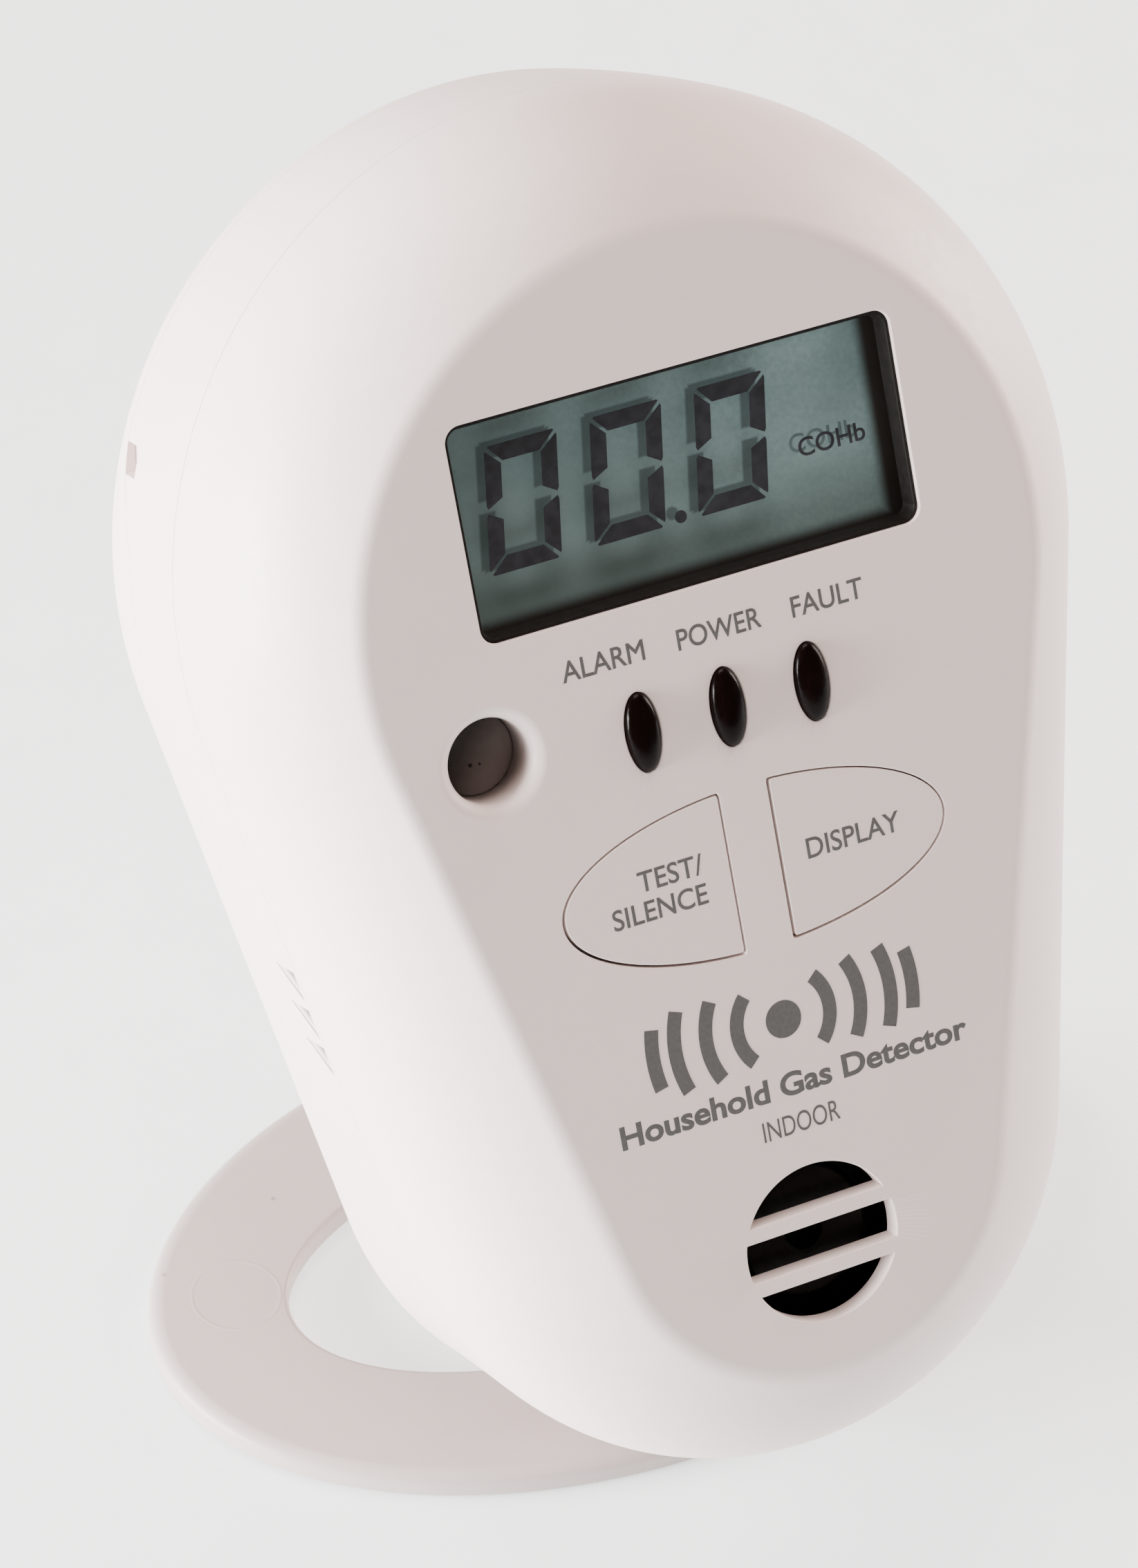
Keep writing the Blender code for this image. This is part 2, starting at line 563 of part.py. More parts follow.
def board_parts(root):
    back = BOARD_BACK_Y + GAP
    add_object("microcontroller", prism("microcontroller", rounded_box(-0.0020, -0.0280, 0.005, 0.005, 0.0003, 1),
                                        back, back + 0.0014), "black", root)
    add_object("driver_chip", prism("driver_chip", rounded_box(0.0190, -0.0375, 0.0020, 0.0025, 0.0002, 1),
                                    back, back + 0.0015), "black", root)
    turned = {
        "smoothing_capacitor": ("black", 0.0100, -0.0280, ((0.0030, 0.0), (0.0030, 0.0012), (0.0027, 0.0015),
                                                          (0.0030, 0.0018), (0.0030, 0.0068), (0.0027, 0.0071))),
        "sounder_coil": ("copper", 0.0110, -0.0445, ((0.0045, 0.0), (0.0045, 0.0010), (0.0034, 0.0012),
                                                    (0.0034, 0.0045), (0.0045, 0.0047), (0.0045, 0.0057))),
        "gas_sensor_base": ("black", -0.0110, -0.0425, ((0.0089, 0.0), (0.0089, 0.0013))),
        "gas_sensor_can": ("steel", -0.0110, -0.0425, ((0.0085, 0.0016), (0.0085, 0.0110), (0.0080, 0.0115))),
        "gas_sensor_cap": ("white", -0.0110, -0.0425, ((0.0070, 0.0118), (0.0070, 0.0127), (0.0064, 0.0133))),
    }
    for name, (finish, x, z, profile) in turned.items():
        mesh = stack(name, [(circle(x, z, r), back + y) for r, y in profile])
        add_object(name, mesh, finish, root)


def sounder(root):
    profile = ((0.0054, 0.0034), (0.0058, 0.0037), (0.0059, 0.0048), (0.0100, 0.0048), (0.0105, 0.0053),
               (0.0105, 0.0103), (0.0093, 0.0103), (0.0093, 0.0084), (0.0078, 0.0084), (0.0078, 0.0062))
    add_object("sounder_case", stack("sounder_case", [(circle(0, GRILLE_Z, r, 24), y) for r, y in profile]),
               "black", root)
    add_object("piezo_disc", rod("piezo_disc", 0, GRILLE_Z, 0.0090, 0.0087, 0.0090, 24), "brass", root)
    add_object("piezo_ceramic", rod("piezo_ceramic", 0, GRILLE_Z, 0.0062, 0.0093, 0.0096, 20), "white", root)
    section = ((0.0112, 0.0106), (0.0112, 0.0116), (0.0042, 0.0116), (0.0042, 0.0106))
    loops = [[(x, y, z) for x, z in circle(0, GRILLE_Z, r, 24)] for r, y in section]
    add_object("sounder_retainer", ring_loft("sounder_retainer", loops), "white", root)
    for finish, side in (("lead_red", -1), ("black", 1)):
        sounder_lead(root, "sounder_lead_" + ("red" if side < 0 else "black"), finish, side)


def sounder_lead(root, name, finish, side):
    """A short stiff wire looping from the sounder's back over to the board's back."""
    curve = bpy.data.curves.new(name, "CURVE")
    curve.dimensions = "3D"
    curve.bevel_depth = 0.0004
    curve.bevel_resolution = 1
    curve.use_fill_caps = True
    steps = 16
    spline = curve.splines.new("POLY")
    spline.points.add(steps)
    for i in range(steps + 1):
        t = i / steps
        y = 0.0099 + 0.0010 * t + 0.0035 * math.sin(math.pi * t)
        z = GRILLE_Z + 0.0145 * (1 - math.cos(math.pi * t)) / 2
        spline.points[i].co = (side * 0.0020, y, z, 1.0)
    wire = bpy.data.objects.new(name, curve)
    bpy.context.collection.objects.link(wire)
    wire.parent = root
    curve.materials.append(material(finish))


# ---------------------------------------------------------------- cells
def battery(root):
    end = CELL_LENGTH / 2
    for name, z, way in (("cell_upper", CELL_Z[0], 1), ("cell_lower", CELL_Z[1], -1)):
        profile = ((-end, 0.0068), (-end + 0.0004, CELL_R), (end - 0.0013, CELL_R), (end - 0.0010, 0.0066),
                   (end - 0.0009, 0.0029), (end, 0.0027))
        turns = [2 * math.pi * i / 20 for i in range(20)]
        loops = [[(way * x, CELL_Y + r * math.cos(t), z + r * math.sin(t)) for t in turns] for x, r in profile]
        add_object(name, loft(name, loops), "cell", root)
    strip_half, strip = 0.0020, 0.0003
    link = [(CELL_Y - strip_half, CELL_Z[1] - strip_half), (CELL_Y + strip_half, CELL_Z[1] - strip_half),
            (CELL_Y + strip_half, CELL_Z[0] + strip_half), (CELL_Y - strip_half, CELL_Z[0] + strip_half)]
    add_object("battery_link", side_plate("battery_link", link, -end - GAP - strip, -end - GAP), "steel", root)
    for name, z in (("battery_tab_positive", CELL_Z[0]), ("battery_tab_negative", CELL_Z[1])):
        tab = [(BOARD_BACK_Y + GAP, z - strip_half), (CELL_Y + strip_half, z - strip_half),
               (CELL_Y + strip_half, z + strip_half), (BOARD_BACK_Y + GAP, z + strip_half)]
        add_object(name, side_plate(name, tab, end + GAP, end + GAP + strip), "steel", root)
    for side, word in ((-1, "left"), (1, "right")):
        outline = [(BOARD_BACK_Y + GAP, -0.0213), (0.0150, -0.0213), (0.0150, 0.0122), (BOARD_BACK_Y + GAP, 0.0122)]
        x_low = side * 0.0180 - 0.0010
        saddle = add_object(f"cell_saddle_{word}", side_plate(f"saddle_{word}", outline, x_low, x_low + 0.0020),
                            "white", root)
        for number, z in enumerate(CELL_Z):
            name = f"saddle_{word}_{number}"
            cut(saddle, cross_rod(name, CELL_R + GAP, x_low - 0.001, x_low + 0.003, CELL_Y, z, 20), root)


def side_plate(name, outline, x_low, x_high):
    """An outline of (y, z) points drawn sideways between two x positions."""
    return loft(name, [[(x, y, z) for y, z in outline] for x in (x_low, x_high)])


# ---------------------------------------------------------------- screws
def screw(root, name, x, z, tip, shoulder, shaft_r, head_r, head_depth, crossed=False):
    """A pan-head screw driven from behind, its tip towards the face."""
    profile = ((shaft_r * 0.5, tip), (shaft_r, tip + 0.0006), (shaft_r, shoulder), (head_r, shoulder),
               (head_r, shoulder + head_depth * 0.7), (head_r * 0.8, shoulder + head_depth))
    piece = add_object(name, stack(name, [(circle(x, z, r, 14), y) for r, y in profile]), "steel", root)
    if crossed:
        long_half, short_half, deep = head_r * 0.62, 0.00035, 0.0008
        top = shoulder + head_depth
        for tag, hx, hz in (("a", long_half, short_half), ("b", short_half, long_half)):
            slot = prism(f"{name}_slot_{tag}", rounded_box(x, z, hx, hz, 0.0001, 1), top - deep, top + 0.001)
            cut(piece, slot, root)


def screws(root):
    for side, word in ((-1, "left"), (1, "right")):
        for (x, z, y), place in zip(CASE_BOSS, ("upper", "lower")):
            screw(root, f"case_screw_{place}_{word}", side * x, z, y + 0.0030, 0.0264, 0.0011, 0.0024, 0.0015)
        x, z = BOARD_BOSS
        screw(root, f"board_screw_{word}", side * x, z, 0.0042, BOARD_BACK_Y + GAP, 0.00075, 0.0022, 0.0013)
        x, z = PLATE_SCREW
        screw(root, f"plate_screw_{word}", side * x, z, 0.0222, 0.0318, 0.00075, 0.0024, 0.0016, crossed=True)


# ---------------------------------------------------------------- assembly
def seat_on_origin(root):
    """Move the whole object so its box stands on z = 0, centred on the origin."""
    bpy.context.view_layer.update()
    graph = bpy.context.evaluated_depsgraph_get()
    low, high = np.full(3, np.inf), np.full(3, -np.inf)
    for item in bpy.data.objects:
        if item.type not in {"MESH", "CURVE"} or item.hide_render:
            continue
        solid = item.evaluated_get(graph)
        mesh = solid.to_mesh()
        for vertex in mesh.vertices:
            point = np.array(solid.matrix_world @ vertex.co)
            low, high = np.minimum(low, point), np.maximum(high, point)
        solid.to_mesh_clear()
    root.location = (-(low[0] + high[0]) / 2, -(low[1] + high[1]) / 2, -low[2])
    bpy.context.view_layer.update()


def empty(name, parent=None, location=(0, 0, 0), tilt=0.0):
    made = bpy.data.objects.new(name, None)
    bpy.context.collection.objects.link(made)
    made.parent = parent
    made.location = location
    made.rotation_euler = (tilt, 0, 0)
    return made


def main():
    clear_scene()
    root = empty("housing_frame", tilt=-LEAN)
    pivot = empty("stand_pivot", root, (0, PIN_Y, PIN_Z), LEAN)
    front_cover(root)
    rear_cover(root)
    back_plate(root)
    rating_label(root)
    stand_ring(pivot)
    hinge_pin(root)
    for name, side in (("test", -1), ("display", 1)):
        push_button(root, f"{name}_button", side)
        tact_switch(root, f"{name}_switch", side)
    display(root)
    status_lights(root)
    light_port(root)
    main_board(root)
    board_parts(root)
    sounder(root)
    battery(root)
    screws(root)
    seat_on_origin(root)


if __name__ == "__main__":
    main()
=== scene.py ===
"""Looks for a free-standing carbon monoxide detector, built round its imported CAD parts.

Pieces of the housing are modelled in the housing's own frame: X across the face, Y into the housing
from the face plane, Z up the face, with the origin in the middle of the display window. Pieces of the
stand are modelled from its pin. Everything is in metres.
"""
import json
import math

import bmesh
import bpy
from mathutils import Matrix, Vector


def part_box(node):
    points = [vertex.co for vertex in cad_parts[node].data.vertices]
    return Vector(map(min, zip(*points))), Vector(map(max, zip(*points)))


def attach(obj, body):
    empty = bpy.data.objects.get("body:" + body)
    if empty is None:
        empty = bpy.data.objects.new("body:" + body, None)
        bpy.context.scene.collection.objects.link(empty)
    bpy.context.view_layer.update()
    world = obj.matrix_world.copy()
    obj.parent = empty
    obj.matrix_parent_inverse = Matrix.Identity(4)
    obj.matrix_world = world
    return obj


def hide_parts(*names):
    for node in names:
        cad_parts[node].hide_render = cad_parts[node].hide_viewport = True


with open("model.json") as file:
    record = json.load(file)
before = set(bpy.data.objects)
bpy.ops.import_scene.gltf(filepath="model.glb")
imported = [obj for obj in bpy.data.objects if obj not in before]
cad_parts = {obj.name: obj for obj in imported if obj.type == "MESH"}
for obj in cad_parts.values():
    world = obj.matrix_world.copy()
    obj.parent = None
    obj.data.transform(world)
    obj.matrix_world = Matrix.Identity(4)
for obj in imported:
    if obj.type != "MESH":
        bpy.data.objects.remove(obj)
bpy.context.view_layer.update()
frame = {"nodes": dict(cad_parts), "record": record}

bl_info = {
    "name": "Carbon monoxide detector",
    "version": (1, 0, 0),
    "blender": (4, 5, 0),
    "location": "View3D > Sidebar > Detector",
    "description": "Builds the shell, display, lights, buttons and stand of a gas detector",
    "category": "Add Mesh",
}

LEAN = math.radians(30.0)
PIN_Y, PIN_Z = 0.0343, -0.0851
PIN_LOW, PIN_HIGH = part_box("hinge_pin")
PIN_PLACE = Matrix.Translation((PIN_LOW + PIN_HIGH) / 2)
HOUSING = PIN_PLACE @ Matrix.Rotation(-LEAN, 4, "X") @ Matrix.Translation((0, -PIN_Y, -PIN_Z))

# Egg outlines: height of top centre, top radius, height of low centre, low radius.
FACE_EGG = (-0.0098, 0.0297, -0.0592, 0.0178)
SEAM_EGG = (-0.0088, 0.0384, -0.0583, 0.0297)
BACK_EGG = (-0.0090, 0.0375, -0.0599, 0.0289)
TOP_STEPS, SIDE_STEPS, LOW_STEPS = 110, 24, 76

SEAM_Y, BACK_Y, HEEL_R = 0.0178, 0.0380, 0.0037
PLATE_UPPER_Y, PLATE_LOWER_Y = 0.0326, 0.0288
PLATE_STEP_Z = (-0.003, 0.009)
WALL, SHARP_ANGLE = 0.0018, 38.0

LCD_HALF, LCD_CORNER = (0.0195, 0.00886), 0.0014
GLASS_Y, PANEL_Y, PANEL_BACK_Y, PANEL_HALF = 0.0022, 0.0039, 0.0049, (0.0208, 0.0102)
SEGMENT_THICK = 0.00004
TEXT_EXTRUDE, TEXT_WEIGHT = 0.02, 0.011
DIGIT_X = (-0.01317, -0.00403, 0.00515)
DIGIT_Z, DIGIT_SLANT = 0.0010, 0.143
DIGIT_HALF = (0.00312, 0.0051)
DIGIT_STROKE = 0.00138
POINT_AT, POINT_R = (-0.00022, -0.00365), 0.00052

LED_Z, LED_PITCH, LED_HALF = -0.0192, 0.00757, (0.0015, 0.0033)
BUTTON_Z, BUTTON_HALF, BUTTON_BAR_HALF = -0.0328, (0.01725, 0.00695), 0.00217
PORT_X, PORT_Z, PORT_R, PORT_LIP = -0.0205, -0.0181, 0.0035, 0.0012
PORT_TUBE_WALL, PORT_TUBE_END = 0.0013, 0.0072
GRILLE_Z, GRILLE_R, GRILLE_BAR_Z, GRILLE_BAR = -0.0657, 0.00685, 0.00236, 0.00132
VENT_Z = (-0.0361, -0.0396, -0.0431)
VENT_HIGH, VENT_DEEP, VENT_START, VENT_END = 0.0027, 0.0013, 0.0006, 0.0048
KEYHOLE, PLATE_SCREW, CASE_LABEL = (0.0180, 0.0090), (0.0270, -0.0250), (0.0222, 0.0130)
LABEL_Z, LABEL_CORNER = -0.0200, 0.002

RING_HALF, RING_BAND, RING_THICK, RING_ROUND = (0.0424, 0.0270), 0.0128, 0.0026, 0.0011
RING_CENTRE = 0.0186
RING_SHOULDER, RING_INNER_ROUND, RING_FOOT_ROUND = 1.4, 0.0005, 0.0006
EAR_X, EAR_HALF, EAR_R, PIN_R = 0.0070, 0.0020, 0.0026, 0.0010
EAR_FOOT_HALF, EAR_SINK, BORE_R = 0.0028, 0.0008, PIN_R * 1.1

# How far the shells' edges are eased where they meet, and how far each edge is set in from the skin.
SEAM_EASE, SEAM_SET = 0.00004, 0.00014
JOINT_EASE, JOINT_SET = 0.00003, 0.00011

# Turned pieces and holes: (radius, depth) pairs.
PORT_FLOOR = ((0.0032, 0.0042), (0.00342, 0.00425), (0.00345, 0.0055))
SCREW_WELL = ((0.0029, 0.0317), (0.0029, BACK_Y - 0.0003),
              (0.0034, BACK_Y + 0.0002), (0.0034, BACK_Y + 0.0010))
SCREW = ((0.00075, 0.0240), (0.00075, 0.0318), (0.0022, 0.0318), (0.0024, 0.0320), (0.0024, 0.0326),
         (0.0022, 0.0331), (0.0018, 0.0333), (0.0012, 0.0334))
SOUNDER = ((0.0016, 0.0052), (0.0017, 0.0036), (0.0020, 0.0034), (0.0053, 0.0034), (0.0057, 0.0036),
           (0.0059, 0.0040), (0.0060, 0.0048), (0.0100, 0.0048), (0.0104, 0.0050), (0.0105, 0.0053),
           (0.0105, 0.0103), (0.0093, 0.0103), (0.0093, 0.0084), (0.0078, 0.0084), (0.0078, 0.0062))

# Wording: piece, words, left and right ends, base line, and the body it rides on.
WORDS_ON_BUTTONS = (
    ("word_test", "TEST/", -0.01035, -0.00460, -0.0320, "test_button"),
    ("word_silence", "SILENCE", -0.01305, -0.00460, -0.0345, "test_button"),
    ("word_display", "DISPLAY", 0.00460, 0.01310, -0.0335, "display_button"),
)
WORDS_OVER_LIGHTS = (
    ("word_alarm", "ALARM", -0.01350, -0.00625, -0.01345, "housing"),
    ("word_power", "POWER", -0.00335, 0.00410, -0.01357, "housing"),
    ("word_fault", "FAULT", 0.00685, 0.01330, -0.01364, "housing"),
)

# Soft lights: name, place, target, width, height, power in watts, and colour.
WARM = (1.0, 0.845, 0.785)
LIGHTS = (
    ("key", (-0.80, 0.10, 0.15), (0, 0, 0.05), 0.50, 0.26, 45.0, (1.0, 0.97, 0.96)),
    ("top", (0.0, 0.24, 0.93), (0, 0, 0.06), 0.60, 0.60, 11.5, WARM),
    ("side", (0.78, 0.06, 0.24), (0, 0, 0.06), 0.40, 0.40, 12.0, WARM),
)
SKY_STRENGTH, FLOOR_REACH, FLOOR_DROP = 0.30, 2.5, 0.0001
CAMERA_AT, CAMERA_TURN = (-0.16319, -0.28545, 0.37949), (45.7265, -2.8515, -25.9572)
CAMERA_LENS = 125.52


# ---------------------------------------------------------------- sizes and colours a user may change
class DetectorSizes(bpy.types.PropertyGroup):
    """Sizes of the small details that the CAD leaves out."""
    crease: bpy.props.FloatProperty(
        name="Face crease", description="How far the rounding reaches either side of the face's edge",
        default=0.0008, unit="LENGTH")
    edge: bpy.props.FloatProperty(
        name="Edge rounding", description="Rounding of the edges of holes in the face",
        default=0.00012, unit="LENGTH")
    seam: bpy.props.FloatProperty(
        name="Seam gap", description="Gap seen where two shell parts meet", default=0.00006, unit="LENGTH")
    print_lift: bpy.props.FloatProperty(
        name="Ink thickness", description="How far the printing stands off the face",
        default=0.00002, unit="LENGTH")
    capital: bpy.props.FloatProperty(
        name="Capital height", description="Height of a printed capital letter",
        default=0.00170, unit="LENGTH")
    ghost_blur: bpy.props.FloatProperty(
        name="Digit shadow blur", description="Softness of the digits' shadow on the display's backing",
        default=0.00015, unit="LENGTH")


def colour_property(name, description, default):
    return bpy.props.FloatVectorProperty(name=name, description=description, default=default,
                                         size=3, min=0.0, max=1.0, subtype="COLOR")


class DetectorColours(bpy.types.PropertyGroup):
    """Base colours of the finishes."""
    shell: colour_property("Shell", "Moulded housing and stand", (0.780, 0.678, 0.650))
    ink: colour_property("Ink", "Printing on the face", (0.082, 0.081, 0.080))
    dark: colour_property("Black plastic", "Bezel, sounder and light port", (0.011, 0.0095, 0.0085))
    lens: colour_property("Lens", "Smoked lenses over the lights", (0.0026, 0.0009, 0.0007))
    display: colour_property("Display", "Display backing", (0.158, 0.236, 0.234))
    digit: colour_property("Digit", "Display segments", (0.017, 0.018, 0.022))
    steel: colour_property("Steel", "Screws and pin", (0.62, 0.61, 0.60))


# ---------------------------------------------------------------- shader maths
class Flow:
    """A shader socket that can be used in sums."""

    def __init__(self, paint, socket):
        self.paint = paint
        self.socket = socket

    def _sum(self, operation, first, second=None):
        return self.paint.node("ShaderNodeMath", {"operation": operation}, {0: first, 1: second})

    def __add__(self, other):
        return self._sum("ADD", self, other)

    def __radd__(self, other):
        return self._sum("ADD", other, self)

    def __sub__(self, other):
        return self._sum("SUBTRACT", self, other)

    def __rsub__(self, other):
        return self._sum("SUBTRACT", other, self)

    def __mul__(self, other):
        return self._sum("MULTIPLY", self, other)

    def __rmul__(self, other):
        return self._sum("MULTIPLY", other, self)

    def __abs__(self):
        return self._sum("ABSOLUTE", self)

    def least(self, other):
        return self._sum("MINIMUM", self, other)

    def most(self, other):
        return self._sum("MAXIMUM", self, other)

    def below(self, other):
        return self._sum("LESS_THAN", self, other)

    def above(self, other):
        return self._sum("GREATER_THAN", self, other)

    def hypot(self, other):
        return self._sum("SQRT", self * self + other * other)

    def wrapped(self, period):
        return self._sum("FLOORED_MODULO", self, period)

    def ramp(self, start, end, low=0.0, high=1.0):
        """Eases from low to high as the value goes from start to end."""
        return self.paint.node("ShaderNodeMapRange", {"interpolation_type": "SMOOTHSTEP"},
                               {0: self, 1: start, 2: end, 3: low, 4: high})

    def mottle(self, low=0.0, high=1.0):
        """Noise eased over its middle, for colours."""
        return self.ramp(0.3, 0.7, low, high)

    def sheen(self, low, high):
        """Noise eased over nearly all its range, for roughness."""
        return self.ramp(0.2, 0.8, low, high)


class Paint:
    """One material: a Principled shader, and the nodes that feed it."""

    def __init__(self, name, **plain):
        self.material = bpy.data.materials.new(name)
        self.material.use_nodes = True
        self.tree = self.material.node_tree
        self.shader = self.tree.nodes["Principled BSDF"]
        for socket, value in plain.items():
            full = (*value, 1.0) if isinstance(value, tuple) else value
            self.shader.inputs[socket.replace("_", " ")].default_value = full

    def node(self, kind, settings=None, values=None, output=0):
        made = self.tree.nodes.new(kind)
        for name, value in (settings or {}).items():
            setattr(made, name, value)
        for key, value in (values or {}).items():
            if isinstance(value, Flow):
                self.tree.links.new(value.socket, made.inputs[key])
            elif value is not None:
                made.inputs[key].default_value = value
        return Flow(self, made.outputs[output])

    def place(self):
        """Position on the piece, in metres."""
        return self.node("ShaderNodeTexCoord", output="Object")

    def axes(self):
        split = self.node("ShaderNodeSeparateXYZ", values={0: self.place()})
        return [Flow(self, socket) for socket in split.socket.node.outputs]

    def grain(self, size, detail=3.0, roughness=0.5, stretch=(1, 1, 1)):
        """Noise from 0 to 1 whose blobs are about size metres across."""
        place = self.node("ShaderNodeVectorMath", {"operation": "MULTIPLY"}, {0: self.place(), 1: stretch})
        return self.node("ShaderNodeTexNoise", values={
            "Vector": place, "Scale": 1.0 / size, "Detail": detail, "Roughness": roughness})

    def cells(self, size):
        """Distance from the middle of cells about size metres across."""
        return self.node("ShaderNodeTexVoronoi", values={"Vector": self.place(), "Scale": 1.0 / size})

    def mix(self, share, first, second):
        """A colour that goes from first to second as share goes from 0 to 1."""
        first, second = (value if isinstance(value, Flow) else (*value, 1.0) for value in (first, second))
        return self.node("ShaderNodeMix", {"data_type": "RGBA"}, {0: share, 6: first, 7: second}, 2)

    def finished(self, colour, roughness, bump=None):
        """The material, fed a colour, a roughness and a bump's height, strength and distance."""
        feeds = {"Base Color": colour, "Roughness": roughness}
        if bump:
            height, strength, distance = bump
            feeds["Normal"] = self.node("ShaderNodeBump", values={
                "Height": height, "Strength": strength, "Distance": distance})
        for socket, flow in feeds.items():
            self.tree.links.new(flow.socket, self.shader.inputs[socket])
        return self.material


def tint(colour, factor):
    return tuple(min(1.0, value * factor) for value in colour)


def colours():
    return bpy.context.scene.detector_colours


def sizes():
    return bpy.context.scene.detector_sizes


# ---------------------------------------------------------------- finishes
def finish(name):
    """The material of that name, made the first time it is asked for."""
    full = f"{name}_finish"
    return bpy.data.materials.get(full) or FINISHES[name](full)


def shell_plastic(name, shade=1.0, marks=None, shadow=None):
    """Satin off-white moulding: faint mottling, fine spark texture and a few dark specks; the shadow mask,
    where given, mixes in a dark colour that is painted shade in the light port and the side vents, and real
    dark specks on the stand.
    """
    base = tint(colours().shell, shade)
    paint = Paint(name, Specular_IOR_Level=0.42)
    cloud = paint.grain(0.022, 3.0)
    fine = paint.grain(0.0011, 4.0, 0.6)
    colour = paint.mix(cloud.ramp(0.35, 0.65), tint(base, 0.985), tint(base, 1.012))
    colour = paint.mix(fine.mottle(0.0, 0.35), colour, tint(base, 0.975))
    speck = paint.cells(0.0085).ramp(0.010, 0.022, 1.0, 0.0)
    few = paint.grain(0.012, 1.0).above(0.60)
    colour = paint.mix(speck * few * 0.55, colour, (0.20, 0.17, 0.15))
    # Painted shade: the shadow mask darkens the port's bore and the vents by depth; on the stand it carries
    # real dark specks instead.
    if shadow:
        colour = paint.mix(shadow(paint), colour, (0.040, 0.031, 0.028))
    height = paint.grain(0.00034, 2.0) + paint.grain(0.0060, 2.0) * 2.2
    if marks:
        height = height + marks(paint)
    return paint.finished(colour, fine.sheen(0.39, 0.50), (height, 0.16, 0.00005))


def stand_marks(paint):
    """Two round ejector-pin marks, just proud, on the ring's upper face."""
    x, y, _ = paint.axes()
    mark = 0.0
    for at_x in (-0.0333, 0.0333):
        away = (x - at_x).hypot(y - 0.0234)
        rim = abs(away - 0.0040).ramp(0.00006, 0.00022, 1.0, 0.0)
        mark = rim * 2.6 + mark
    return mark


def stand_specks(paint):
    """Two small dark specks moulded into the ring."""
    x, y, _ = paint.axes()
    return ((x + 0.0256).hypot(y - 0.0326).ramp(0.00012, 0.00030, 0.45, 0.0)
            + (x + 0.0383).hypot(y - 0.0282).ramp(0.00012, 0.00035, 0.35, 0.0))


# The stand is the housing's plastic with its base colour darkened to 0.61: painted shade. Its marks and
# specks are real.
def stand_plastic_painted_shade(name):
    return shell_plastic(name, 0.61, stand_marks, stand_specks)


def port_shadow(paint):
    """Darkening down the bore of the light port, strongest deep in it."""
    x, y, z = paint.axes()
    inside = (x - PORT_X).hypot(z - PORT_Z).below(PORT_R + 0.0004)
    return inside * y.ramp(0.0004, 0.0040, 0.0, 0.76)


def vent_shadow(paint):
    """Darkening inside the side vents, stronger the deeper they go."""
    lean = side_lean(SEAM_EGG)
    x, y, z = paint.axes()
    depth = (z - SEAM_EGG[0]) * -math.sin(lean)
    depth = SEAM_EGG[1] - (abs(x) * math.cos(lean) + depth)
    margin = 0.0004
    near = y.above(SEAM_Y + margin) * y.below(SEAM_Y + VENT_END + margin)
    near = near * z.above(VENT_Z[-1] - 0.0030) * z.below(VENT_Z[0] + margin)
    return near * depth.ramp(0.00006, 0.00050, 0.0, 0.97)


def black_plastic(name, rough, shade, shine):
    """Black moulding with a fine texture and a little pale dust."""
    base = tint(colours().dark, shade)
    paint = Paint(name, Specular_IOR_Level=shine)
    fine = paint.grain(0.0007, 4.0, 0.6)
    dust = paint.cells(0.0016).ramp(0.03, 0.09, 1.0, 0.0) * paint.grain(0.004, 2.0).above(0.60)
    colour = paint.mix(fine.mottle(), tint(base, 0.85), tint(base, 1.35))
    colour = paint.mix(dust * 0.20, colour, (0.10, 0.09, 0.085))
    return paint.finished(colour, fine.sheen(rough, rough + 0.14), (fine, 0.25, 0.00004))


def port_floor(name):
    """Dark insert, with painted light that makes it lighter towards its lower right, and two near-black dots
    painted as the shade in its pin holes.
    """
    paint = Paint(name, Specular_IOR_Level=0.3)
    x, _, z = paint.axes()
    fine = paint.grain(0.0006)
    # Painted light: the floor grows lighter towards its lower right, where light falls into the bore.
    lit = ((x - PORT_X) - (z - PORT_Z)).ramp(-0.0022, 0.0044)
    colour = paint.mix(fine.mottle(), (0.024, 0.020, 0.018), (0.032, 0.027, 0.025))
    colour = paint.mix(lit, colour, (0.240, 0.206, 0.195))
    # Painted shade: near-black dots stand for the two pin holes.
    for at_x, at_z, r in ((-0.0004, -0.0009, 0.00017), (0.0004, -0.0010, 0.00011)):
        dot = (x - (PORT_X + at_x)).hypot(z - (PORT_Z + at_z)).ramp(r * 0.7, r * 1.3, 1.0, 0.0)
        colour = paint.mix(dot, colour, (0.003, 0.002, 0.002))
    return paint.finished(colour, fine.sheen(0.42, 0.55), (fine, 0.2, 0.00003))


def film(name, base, shades, shine, fine_size, sheen, bump=None, roughness=0.5):
    """A thin even layer, mottled between two shades of its base colour."""
    paint = Paint(name, Specular_IOR_Level=shine)
    fine = paint.grain(fine_size, 3.0, roughness)
    colour = paint.mix(fine.mottle(), *(tint(base, shade) for shade in shades))
    return paint.finished(colour, fine.sheen(*sheen), bump and (fine, *bump))


def printing_ink(name):
    return film(name, colours().ink, (0.93, 1.10), 0.3, 0.00035, (0.48, 0.60), (0.15, 0.00001), 0.6)


def segment_film(name):
    return film(name, colours().digit, (0.85, 1.25), 0.35, 0.0009, (0.30, 0.42), (0.05, 0.00001))


def shadow_film(name):
    """The faint second image of the unit's letters."""
    return film(name, colours().display, (0.58, 0.70), 0.2, 0.0006, (0.50, 0.60))


def lens_resin(name):
    """Smoked, polished resin with flow marks deep in it."""
    lens = colours().lens
    paint = Paint(name, Specular_IOR_Level=0.08)
    flow = paint.grain(0.0011, 3.0, 0.6, (1.0, 1.0, 0.5))
    colour = paint.mix(flow.ramp(0.5, 0.75), lens, tint(lens, 1.7))
    return paint.finished(colour, flow.mottle(0.14, 0.26), (flow, 0.35, 0.00012))


